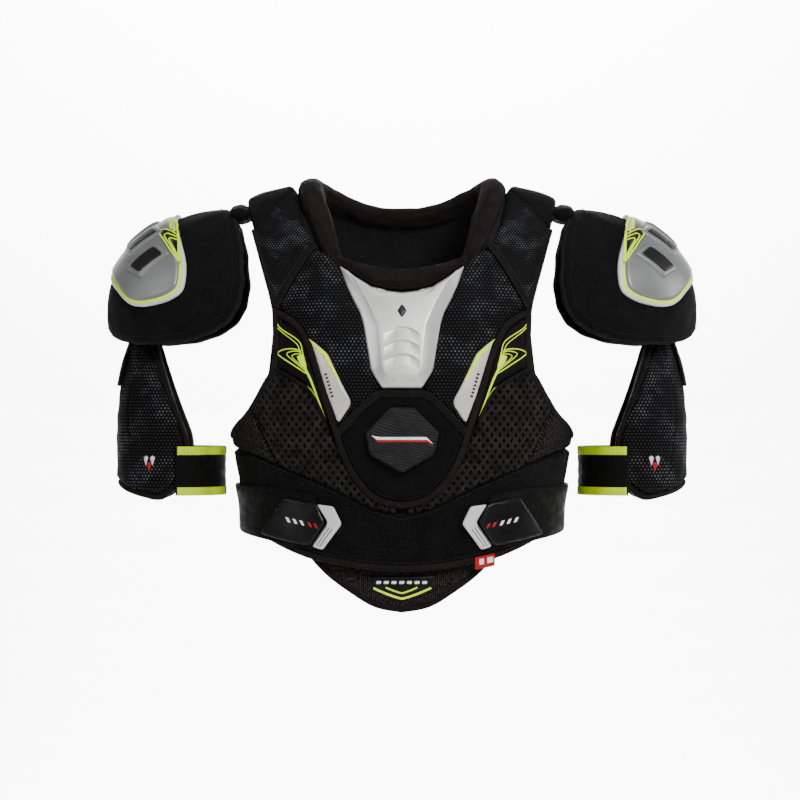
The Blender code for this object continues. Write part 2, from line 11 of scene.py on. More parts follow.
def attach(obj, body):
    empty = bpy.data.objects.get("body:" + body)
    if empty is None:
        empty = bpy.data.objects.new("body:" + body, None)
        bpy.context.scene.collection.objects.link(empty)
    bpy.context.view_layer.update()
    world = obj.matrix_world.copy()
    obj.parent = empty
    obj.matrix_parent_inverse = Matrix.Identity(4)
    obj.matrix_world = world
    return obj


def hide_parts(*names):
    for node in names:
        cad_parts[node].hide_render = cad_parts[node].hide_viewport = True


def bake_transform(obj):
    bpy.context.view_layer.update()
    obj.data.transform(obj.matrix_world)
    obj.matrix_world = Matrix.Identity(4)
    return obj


MM = 0.001

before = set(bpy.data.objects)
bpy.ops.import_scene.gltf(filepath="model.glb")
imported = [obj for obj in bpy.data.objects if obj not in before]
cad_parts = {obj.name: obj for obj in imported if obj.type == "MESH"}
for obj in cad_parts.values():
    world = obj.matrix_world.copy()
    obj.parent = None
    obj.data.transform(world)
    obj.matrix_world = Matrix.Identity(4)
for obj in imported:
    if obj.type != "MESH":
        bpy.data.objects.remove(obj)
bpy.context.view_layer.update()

# ---------------------------------------------------------------- the surfaces that the pieces are laid on

CHEST_Z = -185 * MM
GIRTH_RADIUS = 160 * MM
ARCH_RADIUS = 150 * MM
GIRTH_POWER = 2.5
ARCH_POWER = 1.8
SHOULDER_TOP = 26 * MM
SHOULDER_TOP_X = 95 * MM
SHOULDER_SLOPE = 0.30
NECK_HALF_WIDTH = 72 * MM
HALF_WIDTHS = [(-170, 156), (-105, 156), (-77, 161), (-43, 167), (0, 173), (60, 182), (120, 195), (236, 210)]
FRONT_DEPTHS = [(-170, 122), (-95, 122), (-40, 129), (0, 132), (236, 132)]
BACK_DEPTHS = [(-170, 96), (-95, 96), (-40, 106), (0, 115), (236, 118)]
CAP_CENTRE = np.array((165, 0, -100)) * MM
CAP_RADII = np.array((124, 95, 102)) * MM
CAP_LEAN = math.radians(42)
CAP_MAP_RADIUS = 105 * MM
ARM_X, ARM_Y = 220 * MM, 4 * MM
GUARD_RADII = [(-300, 59), (-220, 59), (-175, 56), (-150, 51), (-128, 44), (-100, 40)]
GUARD_RADIUS = 59 * MM
ARM_STRAP_X, ARM_STRAP_Y = 45 * MM, 61.5 * MM


def table(points, at):
    """The values between a table's points, on a smooth curve through them. The table is in millimetres."""
    x, y = np.array(points, float).T * MM
    before, after = np.maximum(np.arange(len(x)) - 1, 0), np.minimum(np.arange(len(x)) + 1, len(x) - 1)
    slope = (y[after] - y[before]) / (x[after] - x[before])
    at = np.clip(at, x[0], x[-1])
    i = np.clip(np.searchsorted(x, at, "right") - 1, 0, len(x) - 2)
    step = x[i + 1] - x[i]
    f = (at - x[i]) / step
    return (
        y[i] * (1 + 2 * f) * (1 - f) ** 2 + y[i + 1] * f * f * (3 - 2 * f)
        + slope[i] * step * f * (1 - f) ** 2 - slope[i + 1] * step * f * f * (1 - f)
    )


def power(value, exponent):
    """The size of the value to this power, with the value's sign."""
    return np.sign(value) * np.abs(value) ** exponent


def shoulder_height(x):
    """The height of the shoulder line, which slopes down outside the neck."""
    return SHOULDER_TOP - SHOULDER_SLOPE * (np.maximum(np.abs(x), NECK_HALF_WIDTH) - SHOULDER_TOP_X)


def torso(uv, facing=1):
    """Points of the vest's outer surface, from girth and height coordinates. facing is -1 for the back."""
    u, v = uv[:, 0], uv[:, 1]
    angle, over = u / GIRTH_RADIUS, np.maximum(v, 0) / ARCH_RADIUS
    level = np.minimum(v, math.pi * ARCH_RADIUS - v)
    x = table(HALF_WIDTHS, level) * power(np.sin(angle), 2 / GIRTH_POWER)
    forward = power(np.cos(angle), 2 / GIRTH_POWER) * power(np.cos(over), 2 / ARCH_POWER) * facing
    y = -forward * np.where(forward > 0, table(FRONT_DEPTHS, level), table(BACK_DEPTHS, level))
    rise = np.abs(np.sin(over)) ** (2 / ARCH_POWER)
    z = CHEST_Z + np.minimum(v, 0) + (shoulder_height(x) - CHEST_Z) * rise
    return np.stack((x, y, z), 1)


def torso_front(uv):
    return torso(uv)


def torso_back(uv):
    return torso(uv, -1)


def cap_dome(uv):
    """Points of the left cap, on a map centred on the cap's upper outer side."""
    away, turn = np.hypot(uv[:, 0], uv[:, 1]) / CAP_MAP_RADIUS, np.arctan2(uv[:, 1], uv[:, 0])
    middle = np.array((math.cos(CAP_LEAN), 0, math.sin(CAP_LEAN)))
    to_front, to_top = np.array((0, -1, 0)), np.array((-math.sin(CAP_LEAN), 0, math.cos(CAP_LEAN)))
    side = np.cos(turn)[:, None] * to_front + np.sin(turn)[:, None] * to_top
    return CAP_CENTRE + (np.cos(away)[:, None] * middle + np.sin(away)[:, None] * side) * CAP_RADII


def guard_tube(uv):
    """Points of the left arm guard's outer surface, from the turn round the arm and the height."""
    turn, radius = uv[:, 0] / GUARD_RADIUS, table(GUARD_RADII, uv[:, 1])
    return np.stack((ARM_X + radius * np.cos(turn), ARM_Y - radius * np.sin(turn), uv[:, 1]), 1)


def strap_loop(uv):
    """Points of the oval loop of the left arm strap."""
    turn = uv[:, 0] / ARM_STRAP_Y
    return np.stack((ARM_X + ARM_STRAP_X * np.cos(turn), ARM_Y - ARM_STRAP_Y * np.sin(turn), uv[:, 1]), 1)


def arch(x, degrees):
    """The surface coordinates of a place over the shoulder, this far round from the chest to the back."""
    v = math.radians(degrees) * ARCH_RADIUS
    half_width = table(HALF_WIDTHS, min(v, math.pi * ARCH_RADIUS - v))
    u = math.asin(min(abs(x) * MM / half_width, 1) ** (GIRTH_POWER / 2)) * GIRTH_RADIUS
    return (-u if x < 0 else u), v


def seen(x, z):
    """The surface coordinates of a place on the vest, seen from straight ahead, in millimetres."""
    above = z * MM - CHEST_Z
    if above > 0:
        share = min(above / (shoulder_height(x * MM) - CHEST_Z), 1)
        return arch(x, math.degrees(math.asin(share ** (ARCH_POWER / 2))))
    u = math.asin(min(abs(x) * MM / table(HALF_WIDTHS, above), 1) ** (GIRTH_POWER / 2)) * GIRTH_RADIUS
    return (-u if x < 0 else u), above


def girth(degrees, z):
    """The surface coordinates of a place this far round the body, 90 being the side."""
    return math.radians(degrees) * GIRTH_RADIUS, z * MM - CHEST_Z


def cap_seen(x, z):
    """The map coordinates of a place on the cap's front half, seen from straight ahead, in millimetres."""
    across, up = (x * MM - CAP_CENTRE[0]) / CAP_RADII[0], (z * MM - CAP_CENTRE[2]) / CAP_RADII[2]
    size = max(math.hypot(across, up), 1)
    across, up = across / size, up / size
    forward = math.sqrt(max(1 - across * across - up * up, 0))
    outward = across * math.cos(CAP_LEAN) + up * math.sin(CAP_LEAN)
    along = up * math.cos(CAP_LEAN) - across * math.sin(CAP_LEAN)
    away, turn = math.acos(max(-1, min(outward, 1))), math.atan2(along, forward)
    return away * math.cos(turn) * CAP_MAP_RADIUS, away * math.sin(turn) * CAP_MAP_RADIUS


def guard_at(degrees, z):
    """The coordinates of a place on the arm guard, 0 being outwards and 90 the front."""
    return math.radians(degrees) * GUARD_RADIUS, z * MM


def strap_at(degrees, z):
    """The coordinates of a place on the arm strap's loop."""
    return math.radians(degrees) * ARM_STRAP_Y, z * MM


def on_torso(points):
    """The surface coordinates of places on the vest, seen from straight ahead, in millimetres."""
    return [seen(x, z) for x, z in points]


def on_cap(points):
    """The map coordinates of places on the cap's front half, seen from straight ahead, in millimetres."""
    return [cap_seen(x, z) for x, z in points]


def on_guard(points):
    """The coordinates of places on the arm guard, given as degrees round it and heights in millimetres."""
    return [guard_at(degrees, z) for degrees, z in points]


def unit(vectors):
    """The vectors' directions."""
    return vectors / np.maximum(np.linalg.norm(vectors, axis=1), 1e-12)[:, None]


def lengths_along(points):
    """How far along the line through the points each of them lies."""
    return np.concatenate(([0], np.linalg.norm(np.diff(points, axis=0), axis=1).cumsum()))


def points_at(points, length, at):
    """Points between a line's points, at these lengths."""
    return np.stack([np.interp(at, length, points[:, k]) for k in range(points.shape[1])], 1)


def closed_line(points):
    """The outline with its first point again at its end."""
    return np.vstack((points, points[:1]))


def normals(surface, uv):
    """Unit normals that point out of the body."""
    step = 0.2 * MM
    across = surface(uv + (step, 0)) - surface(uv - (step, 0))
    along = surface(uv + (0, step)) - surface(uv - (0, step))
    normal = unit(np.cross(across, along))
    if surface is torso_back:
        return -normal
    if surface in (torso_front, badge_plane):
        return normal
    points = surface(uv)
    centre = np.tile(CAP_CENTRE, (len(uv), 1))
    if surface is not cap_dome:
        centre = np.stack((np.full(len(uv), ARM_X), np.full(len(uv), ARM_Y), points[:, 2]), 1)
    away = np.einsum("ij,ij->i", normal, points - centre)
    return normal * np.sign(away)[:, None]


def raised(surface, uv, height):
    """Points at a height over a surface."""
    uv = np.atleast_2d(np.array(uv, float))
    return surface(uv) + normals(surface, uv) * np.broadcast_to(height, (len(uv),))[:, None]


ARC_U = np.linspace(-math.pi, math.pi, 721) * GIRTH_RADIUS
ARC_V = np.linspace(-215 * MM, math.pi * ARCH_RADIUS, 177)


def arc_tables():
    """Lengths over the vest from its middle line and from the chest line, for every place on a grid."""
    u, v = np.meshgrid(ARC_U, ARC_V)
    points = torso(np.stack((u.ravel(), v.ravel()), 1)).reshape(*u.shape, 3)
    across = np.linalg.norm(np.diff(points, axis=1), axis=2).cumsum(axis=1)
    across = np.pad(across, ((0, 0), (1, 0)))
    along = np.linalg.norm(np.diff(points, axis=0), axis=2).cumsum(axis=0)
    along = np.pad(along, ((1, 0), (0, 0)))
    middle = len(ARC_U) // 2
    return across - across[:, middle : middle + 1], along


ARC_ACROSS, ARC_ALONG = arc_tables()


def flattened(surface, uv):
    """The place of each point on the cloth laid flat, in metres."""
    if surface not in (torso_front, torso_back):
        return uv.copy()
    i = np.clip((uv[:, 0] - ARC_U[0]) / (ARC_U[1] - ARC_U[0]), 0, len(ARC_U) - 1.001)
    j = np.clip((uv[:, 1] - ARC_V[0]) / (ARC_V[1] - ARC_V[0]), 0, len(ARC_V) - 1.001)
    i0, j0 = i.astype(int), j.astype(int)
    fi, fj = i - i0, j - j0

    def read(grid):
        low = grid[j0, i0] * (1 - fi) + grid[j0, i0 + 1] * fi
        high = grid[j0 + 1, i0] * (1 - fi) + grid[j0 + 1, i0 + 1] * fi
        return low * (1 - fj) + high * fj

    return np.stack((read(ARC_ACROSS), read(ARC_ALONG)), 1)


# ---------------------------------------------------------------- lines and outlines

def curve(points, steps):
    """A smooth line through the points."""
    line = []
    for i in range(len(points) - 1):
        near = [points[min(max(k, 0), len(points) - 1)] for k in (i - 1, i, i + 1, i + 2)]
        p0, p1, p2, p3 = (np.array(p, float) for p in near)
        for step in range(steps):
            f = step / steps
            line.append(tuple(0.5 * (2 * p1 + (p2 - p0) * f + (2 * p0 - 5 * p1 + 4 * p2 - p3) * f * f
                                     + (3 * p1 - p0 - 3 * p2 + p3) * f ** 3)))
    return line + [tuple(points[-1])]


def beside(line, distance):
    """The line moved sideways, to its left where the distance is positive."""
    line = np.array(line, float)
    along = unit(np.gradient(line, axis=0))
    return [tuple(p) for p in line + np.stack((-along[:, 1], along[:, 0]), 1) * distance]


def inset(outline, distance):
    """A closed outline moved inwards. It ends on its first point."""
    ring = np.array(outline, float)
    x, y = ring.T
    turns_left = (x * np.roll(y, -1) - y * np.roll(x, -1)).sum() > 0
    along = unit(np.roll(ring, -1, axis=0) - np.roll(ring, 1, axis=0))
    moved = ring + np.stack((-along[:, 1], along[:, 0]), 1) * (distance if turns_left else -distance)
    return [tuple(p) for p in closed_line(moved)]


def both_halves(half):
    """A whole outline from its left half, whose first and last points go to the middle line."""
    return [(0, half[0][1])] + half[1:-1] + [(0, half[-1][1])] + [(-x, z) for x, z in half[-2:0:-1]]


def across(line):
    """A line that ends on the middle line, carried on into the other half."""
    return list(line[:-1]) + [(0, line[-1][1])] + [(-x, z) for x, z in line[-2::-1]]


def resampled(line, spacing, closed=False):
    """Points at an even spacing along a line."""
    line = np.array(line, float)
    if closed:
        line = closed_line(line)
    steps = np.linalg.norm(np.diff(line, axis=0), axis=1)
    line = line[np.concatenate(([True], steps > 1e-9))]
    length = lengths_along(line)
    count = max(int(round(length[-1] / spacing)), 2)
    found = points_at(line, length, np.linspace(0, length[-1], count + 1))
    return found[:-1] if closed else found


def softened(outline, spacing, rounds):
    """A closed outline with even points and rounded corners."""
    points = resampled(outline, spacing, closed=True)
    for _ in range(rounds):
        points = 0.25 * np.roll(points, 1, axis=0) + 0.5 * points + 0.25 * np.roll(points, -1, axis=0)
    return resampled(points, spacing, closed=True)


def distance_to(line, points, closed=True):
    """How far each point is from a line or an outline."""
    a = np.array(line, float)
    b = np.roll(a, -1, axis=0)
    if not closed:
        a, b = a[:-1], b[:-1]
    best = np.full(len(points), np.inf)
    for start in range(0, len(points), 4000):
        p = points[start : start + 4000, None, :]
        edge = (b - a)[None]
        share = np.clip(((p - a[None]) * edge).sum(2) / np.maximum((edge * edge).sum(2), 1e-18), 0, 1)
        gap = np.linalg.norm(p - a[None] - edge * share[..., None], axis=2)
        best[start : start + 4000] = gap.min(1)
    return best


def inside(outline, points):
    """Which of the points lie inside a closed outline."""
    x, y = points[:, 0], points[:, 1]
    found = np.zeros(len(points), bool)
    for (x0, y0), (x1, y1) in zip(outline, np.roll(outline, -1, axis=0)):
        if y0 == y1:
            continue
        crosses = ((y0 > y) != (y1 > y)) & (x < x0 + (y - y0) / (y1 - y0) * (x1 - x0))
        found ^= crosses
    return found


def triangulated(outline, spacing):
    """Points and triangles of a flat outline. The first points are its rim, in order."""
    rim = np.array(outline, float)
    x, y = rim.T
    if (x * np.roll(y, -1) - y * np.roll(x, -1)).sum() < 0:
        rim = rim[::-1]
    low, high = rim.min(0), rim.max(0)
    row_height = spacing * math.sqrt(3) / 2
    rows, columns = int((high[1] - low[1]) / row_height) + 2, int((high[0] - low[0]) / spacing) + 2
    j, i = np.meshgrid(np.arange(rows), np.arange(columns), indexing="ij")
    grid_x, grid_y = low[0] + (i + 0.5 * (j % 2)) * spacing, low[1] + (j + 0.5) * row_height
    grid = np.stack((grid_x, grid_y), 2).reshape(-1, 2)
    grid = grid[inside(rim, grid)]
    grid = grid[distance_to(rim, grid) > 0.5 * spacing]
    points = [Vector(p) for p in np.vstack((rim, grid))]
    found = delaunay_2d_cdt(points, [], [list(range(len(rim)))], 1, 1e-7)
    return np.array([tuple(p) for p in found[0]]), np.array([tuple(f) for f in found[2]])


def finer(points, faces):
    """Every triangle split into four."""
    edges = np.sort(np.concatenate((faces[:, [0, 1]], faces[:, [1, 2]], faces[:, [2, 0]])), axis=1)
    unique, index = np.unique(edges, axis=0, return_inverse=True)
    middles = (points[unique[:, 0]] + points[unique[:, 1]]) / 2
    ab, bc, ca = (index.reshape(-1)[k * len(faces) : (k + 1) * len(faces)] + len(points) for k in range(3))
    a, b, c = faces.T
    split = np.concatenate([np.stack(t, 1) for t in ((a, ab, ca), (ab, b, bc), (ca, bc, c), (ab, bc, ca))])
    return np.vstack((points, middles)), split


def rim_edges(faces):
    """The edges that belong to one triangle only, in its direction."""
    edges = np.concatenate((faces[:, [0, 1]], faces[:, [1, 2]], faces[:, [2, 0]]))
    key = np.sort(edges, axis=1)
    _, index, count = np.unique(key, axis=0, return_inverse=True, return_counts=True)
    return edges[count[index.reshape(-1)] == 1]


def ripple(points, size, seed):
    """A smooth uneven field between about -1 and 1, with waves of about this size."""
    rng = np.random.default_rng(seed)
    total = np.zeros(len(points))
    for _ in range(7):
        turn, phase, stretch = rng.uniform(0, math.pi), rng.uniform(0, 2 * math.pi), rng.uniform(0.7, 1.6)
        wave = points[:, 0] * math.cos(turn) + points[:, 1] * math.sin(turn)
        total += np.sin(wave * 2 * math.pi / (size * stretch) + phase)
    return total / 3.5


# ---------------------------------------------------------------- pieces

TOPS = {}
PLACES = {}
THREADS = {}


def new_object(name, points, faces, flat, material):
    """A smooth mesh in the named material. Every point knows its place on the cloth laid flat."""
    mesh = bpy.data.meshes.new(name)
    mesh.from_pydata(points.tolist(), [], [f.tolist() if hasattr(f, "tolist") else list(f) for f in faces])
    mesh.polygons.foreach_set("use_smooth", np.ones(len(mesh.polygons), bool))
    layer = mesh.attributes.new("flat", "FLOAT_VECTOR", "POINT")
    wide = np.zeros((len(points), 3), np.float32)
    wide[:, : flat.shape[1]] = flat
    layer.data.foreach_set("vector", wide.ravel())
    mesh.materials.append(MATERIALS[material])
    mesh.update()
    made = bpy.data.objects.new(name, mesh)
    bpy.context.scene.collection.objects.link(made)
    return made


def other_side(made):
    """The right-hand copy of a left-hand piece."""
    copy = bpy.data.objects.new(made.name.replace("left_", "right_"), made.data.copy())
    copy.data.name = copy.name
    copy.data.vertices.foreach_set("co", (places_of(copy.data) * (-1, 1, 1)).ravel())
    copy.data.flip_normals()
    bpy.context.scene.collection.objects.link(copy)
    return copy


def declared(made, body, nodes=(), bends=None):
    """Says what the piece rides on and replaces. A piece given bends rides on no body: its place is only
    baked into its mesh. A left-hand piece gets its right-hand copy.
    """
    pieces = [(made, 1)] + ([(other_side(made), -1)] if made.name.startswith("left_") else [])
    for piece, side in pieces:
        def sided(name):
            return name if side > 0 else name.replace("left_", "right_")

        if bends:
            a, b, start, end = bends
            start, end = (Vector((p[0] * side, p[1], p[2])) for p in (start, end))
            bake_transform(piece)
        else:
            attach(piece, sided(body))
        if nodes:
            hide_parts(*[sided(n) for n in nodes])
    return made


def pad(name, material, surface, outline, base, thickness, spacing=4, levels=1, edge=4, crown=0, relief=None,
        grooves=(), uneven=0.25, under=None, corner=2, rim_share=0.3):
    """A padded or moulded sheet on a surface, with rounded edges. All lengths are in millimetres.

    levels is how often its triangles are split. corner is how often its outline's corners are rounded.
    crown is its extra height in the middle. grooves are (line, width, depth). under is the piece below it."""
    outline = softened(outline, spacing * MM, corner)
    uv, faces = triangulated(outline, spacing * MM)
    for _ in range(levels):
        uv, faces = finer(uv, faces)
    rim = rim_edges(faces)

    def top(places):
        places = np.atleast_2d(np.array(places, float))
        away = distance_to(outline, places) / MM
        rise = np.clip(away / edge, 0, 1)
        low = rim_share * thickness
        height = low + (thickness - low) * np.sqrt(np.maximum(1 - (1 - rise) ** 2, 0))
        if crown:
            height = height + crown * np.sin(np.clip(away / max(away.max(), 1), 0, 1) * math.pi / 2)
        if uneven:
            height = height + uneven * ripple(places, 26 * MM, len(name)) * rise
        for line, width, depth in grooves:
            gap = distance_to(line, places, closed=False) / MM
            height = height - depth * np.exp(-((gap / width) ** 2))
        if relief:
            height = height + relief(places, away)
        height = (height + base) * MM
        return height + TOPS[under](places) if under else height

    TOPS[name] = top
    PLACES[name] = uv, outline
    high = raised(surface, uv, top(uv))
    low_height = base * MM + (TOPS[under](uv) if under else 0)
    low = raised(surface, uv, low_height)
    count = len(uv)
    a, b, c = (high[faces[:, k]] for k in range(3))
    outwards = np.einsum("ij,ij->i", np.cross(b - a, c - a), normals(surface, uv)[faces[:, 0]]).sum()
    walls = np.stack((rim[:, 1], rim[:, 0], rim[:, 0] + count, rim[:, 1] + count), 1)
    over, below = faces, faces[:, ::-1] + count
    if outwards < 0:
        over, below, walls = over[:, ::-1], below[:, ::-1], walls[:, ::-1]
    flat = flattened(surface, uv)
    return new_object(name, np.vstack((high, low)), [*over, *below, *walls], np.vstack((flat, flat)),
                      material)


def frames_along(surface, line, spacing):
    """Even points of a line laid on a surface, with the directions along it, across it and outwards."""
    dense = resampled(line, 0.5 * MM)
    length = lengths_along(surface(dense))
    count = max(int(round(length[-1] / spacing)), 2)
    at = np.linspace(0, length[-1], count + 1)
    uv = points_at(dense, length, at)
    points, out = surface(uv), normals(surface, uv)
    along = unit(np.gradient(points, axis=0))
    return uv, points, along, unit(np.cross(out, along)), out, at


def tube_faces(rows, ring, closed=False):
    """The faces of a tube made of rows of points, each a ring. An open tube gets its two ends."""
    faces = []
    for i in range(rows if closed else rows - 1):
        here, there = i * ring, (i + 1) % rows * ring
        for k in range(ring):
            after = (k + 1) % ring
            faces.append((here + k, here + after, there + after, there + k))
    if closed:
        return faces
    return faces + [tuple(range(ring))[::-1], tuple((rows - 1) * ring + k for k in range(ring))]


def swept(name, material, points, side, out, at, section, closed, lift, shares):
    """A tube of the given section, a closed ring of (across, outwards) in millimetres.

    shares are the parts of the section's width that it has at the start and at the end."""
    section = np.array(section, float) * MM
    raise_by = np.broadcast_to(lift, (len(points),))[:, None, None]
    wide = np.interp(at, (at[0], at[-1]), shares)[:, None, None]
    places = points[:, None] + side[:, None] * section[None, :, :1] * wide
    places = places + out[:, None] * (section[None, :, 1:] + raise_by)
    flat = np.stack(np.broadcast_arrays(at[:, None], lengths_along(section)[None]), 2)
    faces = tube_faces(len(points), len(section), closed)
    return facing_out(new_object(name, places.reshape(-1, 3), faces, flat.reshape(-1, 2), material))


def places_of(mesh):
    """The mesh's points, one in each row."""
    found = np.empty(len(mesh.vertices) * 3)
    mesh.vertices.foreach_get("co", found)
    return found.reshape(-1, 3)


def facing_out(made):
    """Turns a closed mesh's faces outwards."""
    mesh = made.data
    mesh.calc_loop_triangles()
    points = places_of(mesh)
    corners = np.empty(len(mesh.loop_triangles) * 3, np.int64)
    mesh.loop_triangles.foreach_get("vertices", corners)
    a, b, c = (points[corners.reshape(-1, 3)[:, k]] for k in range(3))
    if np.einsum("ij,ij->i", a, np.cross(b, c)).sum() < 0:
        mesh.flip_normals()
    return made


def flat_section(width, low, high):
    """A tape's section: flat below, with rounded upper corners."""
    thick, roundness = high - low, 0.45
    ring = []
    for k in range(13):
        turn = math.pi * k / 12
        x, y = math.cos(turn), math.sin(turn)
        ring.append((width / 2 * power(x, roundness), low + thick * power(y, roundness)))
    ring += [(-width / 2 * 0.6, low - 0.01), (width / 2 * 0.6, low - 0.01)]
    return ring


def round_section(half_width, half_height, middle):
    """A section with full, slightly squared sides."""
    turns = np.linspace(0, 2 * math.pi, 20, endpoint=False)
    return [(half_width * power(math.cos(t), 0.8), middle + half_height * power(math.sin(t), 0.8))
            for t in turns]


def folded_section(width, low, high):
    """The section of a tape folded round a rim, which lies at 0 and runs to positive values."""
    proud, middle, half_height = 0.8, (low + high) / 2, (high - low) / 2
    ring = []
    for k in range(20):
        turn = 2 * math.pi * k / 20
        x, y = math.cos(turn), math.sin(turn)
        ring.append((width / 2 - proud + width / 2 * power(x, 0.6), middle + half_height * power(y, 0.6)))
    return ring


def tape(name, material, surface, line, width, base, thickness, under=None, step=1.6, section=None,
         closed=False, shares=(1, 1), waves=None):
    """A tape laid along a line. base is its lower face's height, over the piece under it where there is one.

    waves are the height and the pitch of the unevenness along it."""
    uv, points, _, side, out, at = frames_along(surface, line, step * MM)
    height, pitch = waves or (0.1 * (thickness > 1), 3.1)
    lift = base * MM + (TOPS[under](uv) if under else 0)
    lift = lift + height * MM * np.sin(at / (pitch * MM) * 2 * math.pi)
    if closed:
        points, side, out, at, lift = points[:-1], side[:-1], out[:-1], at[:-1], lift[:-1]
    return swept(name, material, points, side, out, at, section or flat_section(width, 0, thickness), closed,
                 lift, shares)


def rim_tape(name, material, surface, line, width, low, high, closed=False):
    """A tape folded round the rim of a pad. The line runs with the pad on its left."""
    section = folded_section(width, low, high)
    return tape(name, material, surface, line, width, 0, 0, step=2.0, section=section, closed=closed,
                waves=(0.12, 3.4))


def stitches(body, colour, surface, line, height, pitch=3.4, length=2.3, width=0.8, under=None, sided=True):
    """Adds a row of stitches to a body's thread, at a height over the surface or the piece under them."""
    uv, points, along, side, out, _ = frames_along(surface, line, pitch * MM)
    lift = np.broadcast_to(height * MM + (TOPS[under](uv) if under else 0), (len(points),))
    rings, ring = ((-0.5, 0.2), (-0.3, 0.5), (0.3, 0.5), (0.5, 0.2)), 5
    template = []
    for share, fat in rings:
        dip = 0.25 if abs(share) == 0.5 else 0
        for k in range(ring):
            turn = 2 * math.pi * k / ring
            up = fat * width * 0.7 * math.sin(turn) - dip
            template.append((share * length, fat * width * math.cos(turn), up))
    template = np.array(template) * MM
    centre = points + out * lift[:, None]
    places = (centre[:, None] + along[:, None] * template[None, :, :1]
              + side[:, None] * template[None, :, 1:2] + out[:, None] * template[None, :, 2:])
    per = len(template)
    faces = [tuple(i * per + v for v in f) for i in range(len(points)) for f in tube_faces(len(rings), ring)]
    name = f"left_{body}" if sided and not body.startswith("left_") else body
    THREADS.setdefault((name, body, colour), []).append((places.reshape(-1, 3), faces))


def front_pad(name, material, places, *sizes, **settings):
    """A pad on the vest's front. Its outline is given as seen from straight ahead, in millimetres."""
    return pad(name, material, torso_front, on_torso(places), *sizes, **settings)


def front_tape(name, material, places, *sizes, **settings):
    """A tape on the vest's front, along a line seen from straight ahead, in millimetres."""
    return tape(name, material, torso_front, on_torso(places), *sizes, **settings)


def front_stitches(places, *sizes, **settings):
    """Stitches on the vest's front, along a line seen from straight ahead, in millimetres."""
    stitches("front", "black", torso_front, on_torso(places), *sizes, **settings)


def mark(name, material, outline, under, body="front", surface=torso_front, base=0.05,
         thickness=0.3, spacing=0.8, edge=0.3):
    """A thin flat print on the piece under it."""
    made = pad(name, material, surface, outline, base, thickness, spacing=spacing, levels=0, edge=edge,
               under=under, uneven=0, corner=0)
    declared(made, body)


def make_threads():
    """One mesh for all stitches of a body in one colour."""
    for (name, body, colour), rows in THREADS.items():
        points, faces, start = [], [], 0
        for places, quads in rows:
            points.append(places)
            faces += [tuple(v + start for v in f) for f in quads]
            start += len(places)
        points = np.vstack(points)
        made = new_object(f"{name}_{colour}_stitching", points, faces, points[:, :2], colour + "_thread")
        facing_out(made)
        declared(made, body)


def band(name, material, surface, low_line, high_line, base, thickness, step=2.5, columns=12, ridges=0):
    """A woven strap between two lines on a surface. ridges is the number of ribs along it."""
    share = np.linspace(0, 1, 600)

    def along(line, at):
        line = resampled(line, 0.5 * MM)
        return points_at(line, np.linspace(0, 1, len(line)), at)

    length = lengths_along(surface((along(low_line, share) + along(high_line, share)) / 2))
    count = max(int(length[-1] / (step * MM)), 2)
    at = np.interp(np.linspace(0, length[-1], count + 1), length, share)
    low, high = along(low_line, at), along(high_line, at)
    cross = np.concatenate(([0, 0.015, 0.04], np.linspace(0.08, 0.92, columns), [0.96, 0.985, 1]))
    uv = low[:, None] * (1 - cross)[None, :, None] + high[:, None] * cross[None, :, None]
    rows, wide = uv.shape[:2]
    flat_uv = uv.reshape(-1, 2)
    edge = np.sqrt(np.clip(1 - np.abs(2 * cross - 1) ** 14, 0.02, 1))
    profile = np.tile(edge, rows)
    if ridges:
        profile = profile + 0.12 * np.tile(np.cos(cross * 2 * math.pi * ridges), rows)
    top = raised(surface, flat_uv, (base + thickness * profile) * MM)
    under = raised(surface, flat_uv, base * MM)
    lengths = np.linspace(0, length[-1], rows)
    width = np.linalg.norm(surface(low[:1]) - surface(high[:1]))
    flat = np.stack(np.broadcast_arrays(lengths[:, None], cross[None] * width), 2).reshape(-1, 2)
    i, k = np.meshgrid(np.arange(rows - 1), np.arange(wide - 1), indexing="ij")
    a = (i * wide + k).ravel()
    quads = np.stack((a, a + 1, a + wide + 1, a + wide), 1)
    total = rows * wide
    ring = list(range(wide)) + [r * wide + wide - 1 for r in range(1, rows)]
    ring += [(rows - 1) * wide + k for k in range(wide - 2, -1, -1)]
    ring += [r * wide for r in range(rows - 2, 0, -1)]
    walls = [(ring[m], ring[m - 1], ring[m - 1] + total, ring[m] + total) for m in range(len(ring))]
    faces = [tuple(q) for q in quads.tolist()] + [tuple(q[::-1]) for q in (quads + total).tolist()] + walls
    return facing_out(new_object(name, np.vstack((top, under)), faces, np.vstack((flat, flat)), material))


